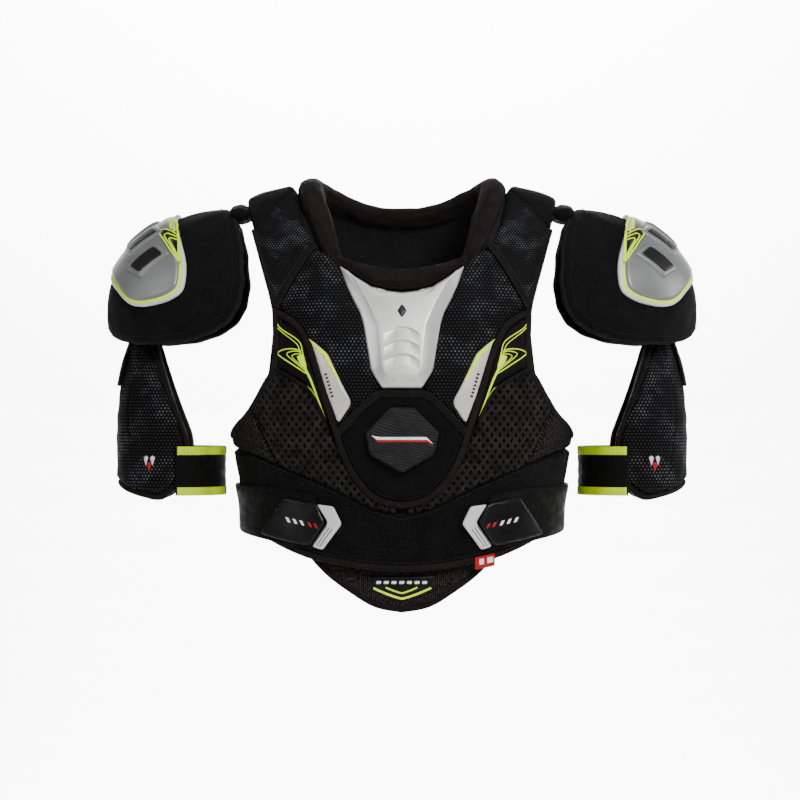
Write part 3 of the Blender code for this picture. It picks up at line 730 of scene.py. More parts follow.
def roll(name, material, path, radii, step=2.5, squash=0.86, uneven=0.5):
    """A stuffed roll along a path, rounded at its ends. path is in metres and radii in millimetres.

    squash is its height over its width."""
    ring = 28
    dense = np.array(curve(path, 16))
    radii = np.array(curve([(r,) for r in radii], 16))[:, 0]
    length = lengths_along(dense)
    at = np.linspace(0, length[-1], int(length[-1] / (step * MM)) + 1)
    points = points_at(dense, length, at)
    radius = np.interp(at, length, radii) * MM
    from_end = np.minimum(at, length[-1] - at)
    radius = radius * np.sqrt(np.clip(1 - (1 - np.clip(from_end / (0.9 * radius), 0, 1)) ** 2, 0.03, 1))
    along = unit(np.gradient(points, axis=0))
    out = unit(np.cross(along, np.cross(np.array((0, 0, 1.0)), along)))
    side = np.cross(out, along)
    turn = np.linspace(0, 2 * math.pi, ring, endpoint=False)
    flat = np.stack(np.broadcast_arrays(at[:, None], (turn * radius.max())[None]), 2)
    wrinkles = ripple(flat.reshape(-1, 2) * (1, 2), 22 * MM, 5).reshape(flat.shape[:2])
    bumps = 1 + uneven * MM * wrinkles / radius.max()
    fat = radius[:, None] * bumps
    places = (points[:, None] + side[:, None] * (fat * np.cos(turn)[None])[..., None]
              + out[:, None] * (squash * fat * np.sin(turn)[None])[..., None])
    faces = tube_faces(len(at), ring)
    return facing_out(new_object(name, places.reshape(-1, 3), faces, flat.reshape(-1, 2), material))


def swelling(name, keep):
    """How freely each point of a pad swells: 0 below, at the rim and under the pieces on it, 1 elsewhere."""
    held_rim, fade = 8, 10
    uv, outline = PLACES[name]
    away = distance_to(outline, uv)
    for line in keep:
        away = np.where(inside(line, uv), 0, np.minimum(away, distance_to(line, uv)))
    share = np.clip((away / MM - held_rim) / fade, 0, 1)
    return np.concatenate((share, np.zeros(len(uv))))


def blown(made, limit, pressure=4.0, keep=()):
    """Lets the cloth swell under pressure, by at most limit millimetres. keep are outlines that stay put."""
    mesh = made.data
    rest = places_of(mesh)
    name = made.name.split(".")[0]
    free = swelling(name, keep) if name in PLACES else np.ones(len(rest))
    modifier = made.modifiers.new("Cloth", "CLOTH")
    settings = modifier.settings
    settings.quality = 5
    settings.mass = 0.3
    settings.tension_stiffness = settings.compression_stiffness = 12
    settings.shear_stiffness = 6
    settings.bending_stiffness = 0.6
    settings.use_pressure = True
    settings.uniform_pressure_force = pressure
    settings.effector_weights.gravity = 0
    group = made.vertex_groups.new(name="held")
    group.add([int(i) for i in np.nonzero(free == 0)[0]], 1.0, "REPLACE")
    settings.vertex_group_mass = group.name
    scene, frames = bpy.context.scene, 14
    modifier.point_cache.frame_start, modifier.point_cache.frame_end = 1, frames
    for step in range(1, frames + 1):
        scene.frame_set(step)
    found = places_of(made.evaluated_get(bpy.context.evaluated_depsgraph_get()).to_mesh())
    made.modifiers.remove(modifier)
    made.vertex_groups.clear()
    scene.frame_set(1)
    moved = found - rest
    moved = np.where(np.isfinite(moved), moved, 0)
    size = np.linalg.norm(moved, axis=1)
    share = free * np.minimum(1, limit * MM / np.maximum(size, 1e-9))
    mesh.vertices.foreach_set("co", (rest + moved * share[:, None]).ravel())
    mesh.update()
    return made


# ---------------------------------------------------------------- finishes

class Finish:
    """A material and the shader nodes added to it."""

    def __init__(self, name, colour, roughness, **settings):
        self.made = bpy.data.materials.new(name)
        self.made.use_nodes = True
        self.tree = self.made.node_tree
        self.shader = self.tree.nodes["Principled BSDF"]
        self.shader.inputs["Base Color"].default_value = (*colour, 1)
        self.shader.inputs["Roughness"].default_value = roughness
        for socket, value in settings.items():
            self.shader.inputs[socket.replace("_", " ")].default_value = value
        self.cloth = self.node("Attribute", attribute_name="flat").outputs["Vector"]
        parts = self.node("SeparateXYZ", {0: self.cloth}).outputs
        self.x, self.y = (self.times(parts[k], 1 / MM) for k in (0, 1))

    def node(self, kind, inputs=None, **settings):
        made = self.tree.nodes.new("ShaderNode" + kind)
        for key, value in settings.items():
            setattr(made, key, value)
        for key, value in (inputs or {}).items():
            if isinstance(value, bpy.types.NodeSocket):
                self.tree.links.new(value, made.inputs[key])
            else:
                made.inputs[key].default_value = value
        return made

    def math(self, operation, *values):
        return self.node("Math", dict(enumerate(values)), operation=operation).outputs[0]

    def times(self, a, b):
        return self.math("MULTIPLY", a, b)

    def plus(self, a, b):
        return self.math("ADD", a, b)

    def minus(self, a, b):
        return self.math("SUBTRACT", a, b)

    def scaled(self, value, factor, offset):
        return self.math("MULTIPLY_ADD", value, factor, offset)

    def noise(self, size, detail=2.0, low=0.35, high=0.65):
        """Uneven patches of this size in millimetres, from 0 to 1."""
        settings = {"Vector": self.cloth, "Scale": 1 / (size * MM), "Detail": detail}
        ends = {"Value": self.node("TexNoise", settings).outputs[0], "From Min": low, "From Max": high}
        return self.node("MapRange", ends).outputs[0]

    def wave(self, value, pitch):
        """Even waves from 0 to 1 along a coordinate in millimetres."""
        turned = self.math("SINE", self.times(value, 2 * math.pi / pitch))
        return self.scaled(turned, 0.5, 0.5)

    def fold(self, value, length):
        """Zigzags from 0 up to this length and back."""
        return self.math("PINGPONG", value, length)

    def mask(self, value, low, high):
        ends = {"Value": value, "From Min": low, "From Max": high}
        return self.node("MapRange", ends, interpolation_type="SMOOTHSTEP").outputs[0]

    def mixed(self, share, a, b):
        colours = [(*c, 1) if isinstance(c, tuple) else c for c in (a, b)]
        return self.node("Mix", {0: share, 6: colours[0], 7: colours[1]}, data_type="RGBA").outputs[2]

    def colour(self, socket):
        self.tree.links.new(socket, self.shader.inputs["Base Color"])

    def tint(self, share, colour, dark, light):
        """Colours the surface from dark times the colour to light times the colour."""
        self.colour(self.mixed(share, *(tuple(c * factor for c in colour) for factor in (dark, light))))

    def rough(self, share, low, high):
        ends = {"Value": share, "To Min": low, "To Max": high}
        self.tree.links.new(self.node("MapRange", ends).outputs[0], self.shader.inputs["Roughness"])

    def bump(self, height, depth):
        """Raises the surface by this many millimetres where height is 1."""
        made = self.node("Bump", {"Height": height, "Distance": depth * MM, "Strength": 1.0})
        self.tree.links.new(made.outputs[0], self.shader.inputs["Normal"])


def dots(finish, pitch, radius):
    """Where the dots of a hexagonal print lie."""
    half, tall = pitch / 2, pitch * math.sqrt(3) / 2
    a, b = finish.fold(finish.x, half), finish.fold(finish.y, tall)
    c, d = finish.minus(half, a), finish.minus(tall, b)

    def size(p, q):
        return finish.plus(finish.times(p, p), finish.times(q, q))

    away = finish.math("SQRT", finish.math("MINIMUM", size(a, b), size(c, d)))
    return finish.mask(away, radius + 0.25, radius - 0.2)


def dot_print(name, pitch=3.6, radius=0.9):
    """Dark cloth with a print of grey dots, which fades in and out like clouds."""
    finish = Finish(name, BLACK, 0.6, Specular_IOR_Level=0.04, Sheen_Weight=0.004, Sheen_Roughness=0.5)
    spot = dots(finish, pitch, radius)
    cloud = finish.times(finish.noise(30, 3, 0.46, 0.62), finish.noise(8, 2, 0.32, 0.6))
    lit = finish.times(spot, finish.scaled(cloud, 0.82, 0.18))
    ground = finish.mixed(finish.noise(60, 3), (0.0006, 0.0006, 0.0007), (0.0020, 0.0020, 0.0023))
    finish.colour(finish.mixed(lit, ground, (0.062, 0.064, 0.069)))
    finish.rough(lit, 0.72, 0.42)
    weave = finish.times(finish.wave(finish.x, 0.9), finish.wave(finish.y, 0.9))
    finish.bump(finish.plus(finish.times(weave, 0.4), spot), 0.12)
    return finish.made


def knit(name, colour, pitch, depth, slant=1.0, spread=0.5):
    """Cloth with fine ribs that run at a slant."""
    finish = Finish(name, colour, 0.82, Specular_IOR_Level=0.05, Sheen_Weight=0.01, Sheen_Roughness=0.45)
    across = finish.scaled(finish.x, slant, finish.y)
    rib = finish.wave(across, pitch)
    loops = finish.wave(finish.minus(finish.x, finish.y), pitch * 0.8)
    height = finish.scaled(loops, 0.35, rib)
    tone = finish.scaled(rib, 0.75, finish.times(finish.noise(22, 3), 0.25))
    finish.tint(tone, colour, 1 - spread * 0.6, 1 + spread)
    finish.rough(finish.noise(15), 0.8, 0.9)
    finish.bump(height, depth)
    return finish.made


def herringbone(name, colour):
    """Cloth with ribs that zigzag."""
    finish = Finish(name, colour, 0.8, Specular_IOR_Level=0.05, Sheen_Weight=0.012, Sheen_Roughness=0.4)
    zigzag = finish.fold(finish.y, 4.5)
    rib = finish.wave(finish.plus(finish.x, zigzag), 2.3)
    finish.tint(finish.times(rib, finish.noise(18, 3, 0.1, 0.6)), colour, 0.3, 2.4)
    finish.bump(rib, 0.5)
    return finish.made


def grosgrain(name, colour, pitch=1.7, depth=0.28):
    """A woven tape with ribs across it."""
    finish = Finish(name, colour, 0.7, Specular_IOR_Level=0.06, Sheen_Weight=0.01, Sheen_Roughness=0.4)
    rib = finish.wave(finish.x, pitch)
    finish.tint(finish.scaled(rib, 0.6, finish.times(finish.noise(20, 3), 0.4)), colour, 0.6, 1.35)
    finish.rough(finish.noise(9), 0.6, 0.8)
    finish.bump(rib, depth)
    return finish.made


def film(name, colour, roughness, metallic=0.0, coat=0.0, grain=0.05, ribs=None, gloss=0.5):
    """Moulded or printed plastic film, with faint scuffs."""
    finish = Finish(name, colour, roughness, Metallic=metallic, Coat_Weight=coat, Coat_Roughness=0.25,
                    Specular_IOR_Level=gloss)
    finish.tint(finish.noise(30, 4), colour, 0.9, 1.08)
    finish.rough(finish.noise(12, 3, 0.25, 0.75), roughness - 0.03, roughness + 0.05)
    height = finish.noise(0.9, 2)
    if ribs:
        slanted = finish.scaled(finish.x, 0.22, finish.y)
        bent = finish.scaled(finish.noise(40, 1), 3.0, slanted)
        height, grain = finish.wave(bent, ribs), 0.14
    finish.bump(height, grain)
    return finish.made


def spacer_mesh(name):
    """Open three-dimensional mesh: pale knitted threads round dark holes in diamonds."""
    finish = Finish(name, BLACK, 0.85, Specular_IOR_Level=0.05, Sheen_Weight=0.02, Sheen_Roughness=0.4)
    hole = finish.plus(finish.fold(finish.times(finish.x, 1 / MESH_WIDE), 0.5),
                       finish.fold(finish.times(finish.y, 1 / MESH_TALL), 0.5))
    strand = finish.mask(finish.math("ABSOLUTE", finish.minus(hole, 0.5)), 0.33, 0.15)
    thread = finish.times(finish.wave(finish.plus(finish.x, finish.y), 1.7),
                          finish.wave(finish.minus(finish.x, finish.y), 1.5))
    lit = finish.times(strand, finish.scaled(thread, 0.9, 0.1))
    lit = finish.times(lit, finish.noise(14, 4, 0.2, 0.65))
    finish.colour(finish.mixed(lit, (0.0006, 0.0006, 0.0006), (0.040, 0.039, 0.034)))
    finish.bump(finish.scaled(thread, 0.4, strand), 0.35)
    return finish.made


def melange(name):
    """A close knit of black and grey yarns."""
    finish = Finish(name, BLACK, 0.85, Specular_IOR_Level=0.05)
    thread = finish.times(finish.wave(finish.scaled(finish.x, 0.5, finish.y), 1.6),
                          finish.wave(finish.x, 2.1))
    lit = finish.times(thread, finish.noise(2.5, 2, 0.35, 0.6))
    finish.colour(finish.mixed(lit, (0.0015, 0.0015, 0.0015), (0.052, 0.050, 0.044)))
    finish.bump(thread, 0.3)
    return finish.made


def pile(name, colour):
    """Brushed loops that hooks hold on to."""
    finish = Finish(name, colour, 0.95, Specular_IOR_Level=0.06, Sheen_Weight=0.02, Sheen_Roughness=0.35)
    tuft = finish.noise(1.6, 3)
    finish.tint(finish.times(tuft, finish.noise(26, 3, 0.2, 0.6)), colour, 0.45, 2.2)
    finish.bump(tuft, 0.6)
    return finish.made


def label_weave(name, colour, pale):
    """The cloth of a woven label, with fine ribs in a paler colour."""
    finish = Finish(name, colour, 0.7, Specular_IOR_Level=0.15, Sheen_Weight=0.01)
    rib = finish.wave(finish.y, 0.8)
    finish.colour(finish.mixed(finish.times(rib, 0.15), colour, pale))
    finish.bump(rib, 0.12)
    return finish.made


BLACK = (0.0028, 0.0028, 0.0032)
BROWN = (0.0058, 0.0045, 0.0039)
LIME = (0.52, 0.73, 0.0)
RED = (0.24, 0.001, 0.003)
WHITE = (0.62, 0.62, 0.62)
MESH_WIDE, MESH_TALL = 8.2, 10.4

FINISHES = (
    dot_print("dot_print"),
    dot_print("dot_print_fine", 2.9, 0.72),
    knit("black_knit", (0.0024, 0.0024, 0.0026), 2.3, 0.3, spread=0.9),
    knit("shield_knit", (0.0022, 0.0022, 0.0025), 1.1, 0.12, slant=0.0),
    knit("lining", (0.0085, 0.0085, 0.009), 2.2, 0.4, slant=0.6),
    herringbone("ribbed", BROWN),
    grosgrain("binding", BROWN),
    grosgrain("edging", (0.0040, 0.0036, 0.0034), 2.0, 0.35),
    knit("piping", (0.0068, 0.0057, 0.0048), 1.2, 0.15, slant=2.0),
    grosgrain("elastic", (0.0019, 0.0017, 0.0016), 1.9, 0.3),
    film("silver", (0.42, 0.42, 0.413), 0.3, metallic=0.4, coat=0.12),
    # silver darkened to paint the shade of a dark reflection on the cap insert's field; the spine plates and
    # the cap's plinths use it too
    film("silver_painted_shade", (0.14, 0.144, 0.144), 0.36, metallic=0.3, gloss=0.25),
    film("silver_warm", (0.43, 0.405, 0.365), 0.34, metallic=0.2, gloss=0.35),
    film("silver_pale", (0.46, 0.46, 0.455), 0.4, metallic=0.1, gloss=0.25),
    film("dark_film", (0.0045, 0.0045, 0.0050), 0.45, ribs=3.0, gloss=0.1),
    film("graphic_film", (0.0016, 0.0016, 0.0018), 0.6, grain=0.1, gloss=0.06),
    film("patch_film", (0.0014, 0.0014, 0.0016), 0.28, grain=0.04, gloss=0.2),
    film("ink", (0.004, 0.004, 0.004), 0.35, gloss=0.3),
    film("lime", LIME, 0.45, gloss=0.2),
    grosgrain("lime_web", (0.40, 0.56, 0.0), 1.3, 0.2),
    film("red_film", RED, 0.45, gloss=0.2),
    film("white_film", WHITE, 0.45),
    film("hard_plastic", (0.008, 0.008, 0.0085), 0.42, grain=0.08, gloss=0.35),
    spacer_mesh("spacer_mesh"),
    melange("melange"),
    pile("loop", (0.0024, 0.0024, 0.0024)),
    label_weave("red_label", RED, (0.45, 0.05, 0.06)),
    label_weave("white_label", WHITE, (0.5, 0.5, 0.5)),
    knit("black_thread", (0.014, 0.012, 0.011), 0.8, 0.1),
    knit("grey_thread", (0.030, 0.029, 0.028), 0.8, 0.1),
)
MATERIALS = {made.name.split(".")[0]: made for made in FINISHES}


# ---------------------------------------------------------------- the chest

SHIELD_BORDER = [(122, -100), (100, -114.5), (87, -140.5), (74, -181), (65, -209), (58, -232), (49, -252),
                 (36, -270), (20, -281.5), (0, -286)]
SHIELD_TOP = [(0, -179.5), (19.5, -179.5), (30, -185), (52, -207), (63, -219)]
PLATE_EDGE = [(0, -82), (15, -80.5), (30, -76), (44, -67.5), (60.5, -55.5), (53, -76), (46, -91),
              (40.5, -101), (37, -112), (34, -130), (29.5, -157), (19, -174), (0, -174)]
PLATE_TOP = [(0, -83), (20, -81), (36, -73.5), (53, -61.5), (42, -76), (30.5, -96), (22, -116), (17.7, -158),
             (14.3, -163), (0, -163)]
YOKE_SEAM = [(85, -36), (122, -97)]
GRAPHIC_SEAM = [(124, -154), (105, -164.5), (87, -178), (73, -206)]
ARMHOLE = [(148, -14), (137, -52), (126, -92), (124, -112), (124, -150), (133, -168), (148, -194),
           (160, -207)]
MESH_LOWER = [(0, -297), (27.5, -290), (49.5, -279), (72, -268), (100, -256), (132, -243), (150, -236)]
HEM = [(0, -348.5), (22, -347.5), (44, -345), (66, -341), (90, -336), (115, -326), (140, -313)]
COLLAR_LOW = [(61, -54), (44, -66), (30, -74.5), (15, -79), (0, -80.5)]
BORDER_LINE = curve(SHIELD_BORDER, 4)
ARMHOLE_LINE = curve(ARMHOLE, 4)
GRAPHIC_LINE = curve(GRAPHIC_SEAM, 4)
MESH_LINE = curve(MESH_LOWER, 3)
HEM_LINE = curve(HEM, 3)
BINDING_WIDTH = 6.5
PANEL_BASE = -7
CORE_BASE = -12.8
SIDE_EDGE = 80
BADGE_Y, BADGE_Z = -133.3 * MM, -225


def mirrored_outline(outline):
    """An outline of the left half with its first and last points on the middle line, completed."""
    return outline + [(-u, v) for u, v in outline[::-1] if abs(u) > 1e-6]


def badge_plane(uv):
    """Points of the flat seat of the shield's badge."""
    return np.stack((uv[:, 0], np.full(len(uv), BADGE_Y), uv[:, 1]), 1)


def flat_place(points):
    """Places in millimetres as places in metres."""
    return [(x * MM, z * MM) for x, z in points]


def plate_relief(places, away):
    """The sternum plate's facets: sloping flanks, a shelf below the collar and three arched steps."""
    at = torso_front(places) / MM
    x, z = at[:, 0], at[:, 2]
    ridge = flat_place(both_halves(PLATE_TOP))
    front = np.stack((x, z), 1) * MM
    to_ridge = np.where(inside(np.array(ridge), front), 0, distance_to(ridge, front) / MM)
    height = np.minimum(8.4 * away / np.maximum(away + to_ridge, 1e-6), 2.6 * away)
    on_top = to_ridge < 0.6
    shelf = -88.4 + 7.5 * np.clip((np.abs(x) - 20) / 12, 0, 1) ** 1.5
    height -= 2.0 * np.clip((z - shelf) / 1.6, 0, 1) * np.clip((33 - np.abs(x)) / 5, 0, 1) * on_top
    for peak in (-117.6, -130, -142.8):
        below = peak - 5.5 * (x / 15) ** 2 - z
        middle = np.clip((17 - np.abs(x)) / 9, 0, 1)
        height -= 1.25 * (np.clip(below / 0.8, 0, 1) * np.clip(1 - below / 11, 0, 1) * middle)
    return height


def make_sternum_plate():
    """The silver plate over the breastbone, with pale silver tapes along its ridges as painted highlights,
    and a small diamond.
    """
    plate = front_pad("sternum_plate", "silver", both_halves(PLATE_EDGE), -1.5, 2.4, spacing=2.4, levels=2,
                      edge=1.2, relief=plate_relief, uneven=0, corner=0)
    declared(plate, "front", ["sternum_plate"])
    # pale silver tapes along the ridge lines: painted highlights where the edges catch the light
    glint_lines = [[(53, -62), (42, -76), (30.5, -96), (22.4, -116), (17.9, -156)], [(17, -164), (-17, -164)],
                  [(26, -84.5), (21, -88), (-21, -88), (-26, -84.5)]]
    for i, line in enumerate(glint_lines):
        side = "left_" if line[0][0] * line[-1][0] > 0 else ""
        painted_glint = front_tape(f"{side}plate_ridge_{i}", "silver_pale", line, 1.0, -0.05, 0.3,
                           under="sternum_plate")
        declared(painted_glint, "front")
    diamond = both_halves([(0, -97), (4.5, -103), (0, -109)])
    mark("plate_diamond", "ink", on_torso(diamond), "sternum_plate")


def make_yoke():
    """The yoke panel, printed with fine dots."""
    yoke = [arch(103, 82), arch(102, 70), arch(97, 58),
            *on_torso([(87, -38), (121, -95.5), *ARMHOLE_LINE[11:0:-1]]), arch(143, 72), arch(143, 82)]
    made = pad("left_yoke_panel", "dot_print_fine", torso_front, yoke, PANEL_BASE, 7.2, spacing=4, edge=6,
               crown=2.2, grooves=[(on_torso([(97, -14), (106, -48), (124, -84)]), 1.6, 0.9)])
    blown(made, 2)
    declared(made, "front", ["left_yoke_panel"])


def make_chest():
    """The chest panel beside the plate, printed with dots."""
    inner = beside(BORDER_LINE, -1.5)
    chest = on_torso([(61.5, -50), (74, -42), (85, -38), (120, -97.5), *inner[3:18]]
                     + [(55, -207), (31, -184)] + beside(PLATE_EDGE[4:12], -2.5)[::-1])
    made = pad("left_chest_panel", "dot_print", torso_front, chest, PANEL_BASE, 7, spacing=4, edge=6,
               crown=2.6, uneven=0.4)
    declared(made, "front", ["left_chest_panel"])


def make_yoke_seam():
    """The tape over the seam between the yoke and the chest."""
    seam = front_tape("left_yoke_seam_tape", "edging", [(84.5, -35.2), *YOKE_SEAM[1:]], 8.5, -1.2, 3)
    declared(seam, "front")
    for gap in (-2.6, 2.6):
        front_stitches(beside(YOKE_SEAM, gap), 1.75)


def make_shield():
    """The knitted shield below the plate."""
    top = curve(SHIELD_TOP, 2)
    outline = on_torso(both_halves(top[:-1] + [(61, -219)] + beside(BORDER_LINE[18:], -1)))
    folds = [(on_torso([(x, -212), (x * 0.8, -268)]), 3.0, 0.35) for x in (-33, -17, 14, 36)]
    made = pad("shield_panel", "shield_knit", torso_front, outline, PANEL_BASE, 7, spacing=4, edge=7,
               crown=0.9, grooves=folds, uneven=0.3)
    declared(made, "front", ["shield_panel"])


def make_shield_edges():
    """The binding round the shield, the tape along its top and their stitches."""
    whole = across(BORDER_LINE[1:])
    made = front_tape("shield_border_binding", "binding", whole, BINDING_WIDTH, -3, 5.2, step=1.2)
    declared(made, "front", ["shield_border_binding"])
    front_stitches(across(beside(BORDER_LINE[18:], -5.2)), -0.2, sided=False)
    front_stitches(beside(BORDER_LINE[2:18], -5.0), 0.9)
    edge = across(curve(SHIELD_TOP, 3)[::-1])
    made = front_tape("shield_top_binding", "edging", edge, 8, -2.6, 4.2, step=1.2)
    declared(made, "front", ["shield_top_binding"])
    for gap in (-2.4, 2.4):
        front_stitches(beside(edge, gap), 1.35, sided=False)


def make_badge():
    """The ribbed badge on the shield and its two stripes."""
    half = [(0, -192), (11.5, -192), (35.5, -216.5), (30.5, -237.5), (0, -255)]

    def ribs(places, away):
        slanted = (places[:, 0] * 0.25 + places[:, 1]) / MM + 1.5 * ripple(places, 40 * MM, 3)
        return 0.16 * np.sin(slanted * 2 * math.pi / 2.6) * np.clip((away - 1.5) / 1, 0, 1)

    made = pad("shield_badge", "dark_film", badge_plane, flat_place(both_halves(half)), 0, 2.8, spacing=2,
               levels=2, edge=1.6, relief=ribs, uneven=0, corner=1)
    declared(made, "front", ["shield_badge"])
    stripes = (("badge_red_stripe", "red_film", -2.2), ("badge_white_stripe", "white_film", 0))
    for name, finish, low in stripes:
        line = [(-29 + abs(low), 3), (-24, -1.2), (24, -1.2), (30, -5.5), (23, 1.6), (-22, 1.6)]
        outline = flat_place([(x, BADGE_Z + 3 + z + low) for x, z in line])
        mark(name, finish, outline, "shield_badge", surface=badge_plane, thickness=0.3 + 0.15 * (low == 0),
             edge=0.4)


def make_wedge():
    """The silver wedge beside the plate, with its lime edge."""
    wedge = [(87.5, -127.5), (80, -133), (70, -142), (49, -184), (48.5, -190), (59.5, -206.5), (61, -206.5)]
    made = front_pad("left_wedge_insert", "silver_warm", wedge, 0, 2.6, spacing=2, edge=1.6,
                     under="left_chest_panel", uneven=0, corner=1)
    declared(made, "front", ["left_wedge_insert"])
    lime = [(88.3, -127.2), (71, -141.2), (58, -167.5), (60.5, -166.5), (74, -144), (84, -134.5)]
    mark("left_wedge_edge", "lime", on_torso(lime), "left_wedge_insert", base=0.1,
         thickness=0.35, spacing=1, edge=0.4)
    for i in range(7):
        z = -160 - 3.4 * i
        x = 70.5 - 0.3 * (-z - 160)
        bar = [(x, z), (x + 2.6, z - 1.0), (x + 2.1, z - 2.6), (x - 0.5, z - 1.6)]
        mark(f"left_wedge_bar_{i}", "ink", on_torso(bar), "left_wedge_insert", base=0.1, thickness=0.25,
             spacing=0.6)


def make_graphic():
    """The dark panel beside the shield."""
    outline = on_torso([(121, -102), *beside(BORDER_LINE, 1.5)[3:20], (72.6, -206),
                        *GRAPHIC_LINE[::-1][1:-1], *ARMHOLE_LINE[16:9:-1]])
    made = pad("left_graphic_panel", "graphic_film", torso_front, outline, PANEL_BASE, 7, spacing=3.5,
               edge=5, crown=0.6, uneven=0.2)
    declared(made, "front", ["left_graphic_panel"])


def make_graphic_lines():
    """The lime lines printed on the graphic panel."""
    even = (1, 1)
    lines = (
        ("line_0", 0.9, 4, even,
         [(119.3, -112.6), (114.5, -117.9), (98.3, -129.1), (94.7, -140), (92.2, -150)]),
        ("line_1", 0.75, 4, even,
         [(119.3, -115.9), (113.8, -121.1), (100.3, -131.8), (97, -140), (93.8, -150)]),
        ("line_2", 1.0, 6, even, [(96.5, -138.2), (104, -136.4), (113, -137.2), (118.4, -140),
                                  (116.5, -143.2), (105, -151), (91.4, -159.8)]),
        ("line_3", 0.8, 6, even, [(96, -139.8), (103, -138.6), (109.8, -141.2), (104.5, -147), (92, -157)]),
        ("line_4", 0.7, 6, even,
         [(95.6, -141.8), (101, -141.4), (104.8, -143.6), (100, -149), (92.4, -155)]),
        ("stem", 2.4, 5, (1, 0.35), [(91.8, -156), (88.2, -163), (84, -173.3), (73.2, -204)]),
        ("branch", 1.6, 5, (0.4, 1.2), [(106.3, -163.3), (96.5, -169.4), (87.6, -175.2), (80, -188),
                                        (73.4, -203)]),
    )
    for name, width, steps, shares, points in lines:
        made = front_tape(f"left_lime_{name}", "lime", curve(points, steps), width, 0.05, 0.3,
                          under="left_graphic_panel", step=1.0, shares=shares)
        declared(made, "front")
    fan = [(94.6, -141.6), (100.4, -143.8), (98, -149.3), (93.6, -154.5), (90, -162), (91.2, -151)]
    mark("left_lime_fan", "lime", on_torso(fan), "left_graphic_panel", spacing=0.9, edge=0.4)


def diamonds(surface, depth):
    """Dents in a diamond pattern for the spacer mesh, which fade out at the panel's edge."""
    fade = 3.0

    def relief(places, away):
        laid = flattened(surface, places) / MM
        a, b = (np.abs((laid[:, k] / size + 0.5) % 1 - 0.5) for k, size in ((0, MESH_WIDE), (1, MESH_TALL)))
        return -depth * np.clip((np.abs(a + b - 0.5) - 0.14) / 0.17, 0, 1) * np.clip(away / fade, 0, 1)

    return relief


def make_mesh():
    """The side panel of spacer mesh and the close knit beside it."""
    side = [girth(79.5, -231), girth(79.5, -219)]
    outline = on_torso([(125, -156), *GRAPHIC_LINE[1:], *beside(BORDER_LINE, 1.5)[20:-1], (0, -288.5),
                        (0, -296), *MESH_LINE[1:12], (119.5, -249), (145, -195.5),
                        *ARMHOLE_LINE[22:17:-1]])
    seams = [(on_torso(beside(BORDER_LINE, 15)[25:-2]), 1.2, 1.2)]
    sides = on_torso([(145.5, -195), (120, -248.5), (132, -243), (144, -238)]) + side
    sides += on_torso(ARMHOLE_LINE[-2:23:-1])
    made = pad("left_side_knit", "melange", torso_front, sides, PANEL_BASE, 7.2, spacing=3.5, edge=4,
               crown=0.8)
    declared(made, "front", ["left_mesh_panel"])
    made = pad("left_mesh_panel", "spacer_mesh", torso_front, outline, PANEL_BASE, 7.2, spacing=4.4,
               levels=2, edge=5, crown=1.2, relief=diamonds(torso_front, 1.15), grooves=seams)
    declared(made, "front", ["left_mesh_panel"])
    made = front_tape("left_graphic_seam_tape", "edging", GRAPHIC_LINE, 3.2, -0.8, 2)
    declared(made, "front")


def make_armhole_edge():
    """The piping round the armhole and its stitches."""
    edge = on_torso(ARMHOLE_LINE[1:]) + [girth(SIDE_EDGE, -217)]
    made = rim_tape("left_armhole_binding", "piping", torso_front, edge[::-1], 7.5, -9.5, 1.3)
    declared(made, "front", ["left_armhole_binding"])
    front_stitches(beside(ARMHOLE_LINE, -8.2)[2:-3], 0.4)


def make_loop_band():
    """The band of loops that the waist straps hook on to, and the hem's binding."""
    hem = on_torso(HEM_LINE)[:-1] + [girth(SIDE_EDGE, -302)]
    band_outline = on_torso([(0, -295.5), *MESH_LINE[1:-2]]) + [girth(79.8, -231)] + hem[::-1]
    made = pad("loop_band", "loop", torso_front, mirrored_outline(band_outline), PANEL_BASE, 7.4, spacing=5,
               edge=4, crown=0.5, uneven=0.35)
    declared(made, "front", ["loop_band"])
    whole_hem = [(-u, v) for u, v in hem[::-1][:-1]] + hem
    made = rim_tape("hem_binding", "binding", torso_front, whole_hem, 7, -12.5, 1.6)
    declared(made, "front", ["hem_binding"])
    stitches("front", "black", torso_front, on_torso(across(beside(HEM_LINE[::-1], -7.6)))[3:-3], 0.9,
             sided=False)
    lower = on_torso(across(beside(MESH_LINE[::-1], 2.2)[2:]))
    stitches("front", "black", torso_front, lower, 0.9, sided=False)


def make_tag():
    """The small woven tag at the hem, with two pale blocks."""
    outline = on_torso([(69, -335.5), (88, -331.5), (88, -343.5), (69, -347.5)])
    made = pad("woven_tag", "red_label", torso_front, outline, 2.1, 0.8, spacing=1.5, edge=0.5, uneven=0.1,
               corner=1)
    declared(made, "front", ["woven_tag"])
    for i, (x, wide) in enumerate(((73, 4.2), (80.5, 5.5))):
        z = -341 + 0.21 * (x - 69)
        outline = on_torso([(x, z + 3), (x + wide, z + 4), (x + wide, z - 1.5), (x, z - 2.5)])
        mark(f"tag_block_{i}", "white_label", outline, "woven_tag", thickness=0.25,
             spacing=0.9)


def make_front_collar():
    """The padded band along the neckline."""
    outline = on_torso(both_halves([(0, -58.5), (20, -56.5), (40, -52.5), (60, -46), (67, -43), (66, -50)]
                                   + curve(COLLAR_LOW, 3)[1:]))
    made = pad("front_collar", "ribbed", torso_front, outline, -8, 11.5, spacing=2.4, edge=8, uneven=0.3,
               corner=1)
    declared(made, "front", ["front_collar"])
    front_stitches(across(beside(curve(COLLAR_LOW, 3), -1.0)), 2.2, sided=False)


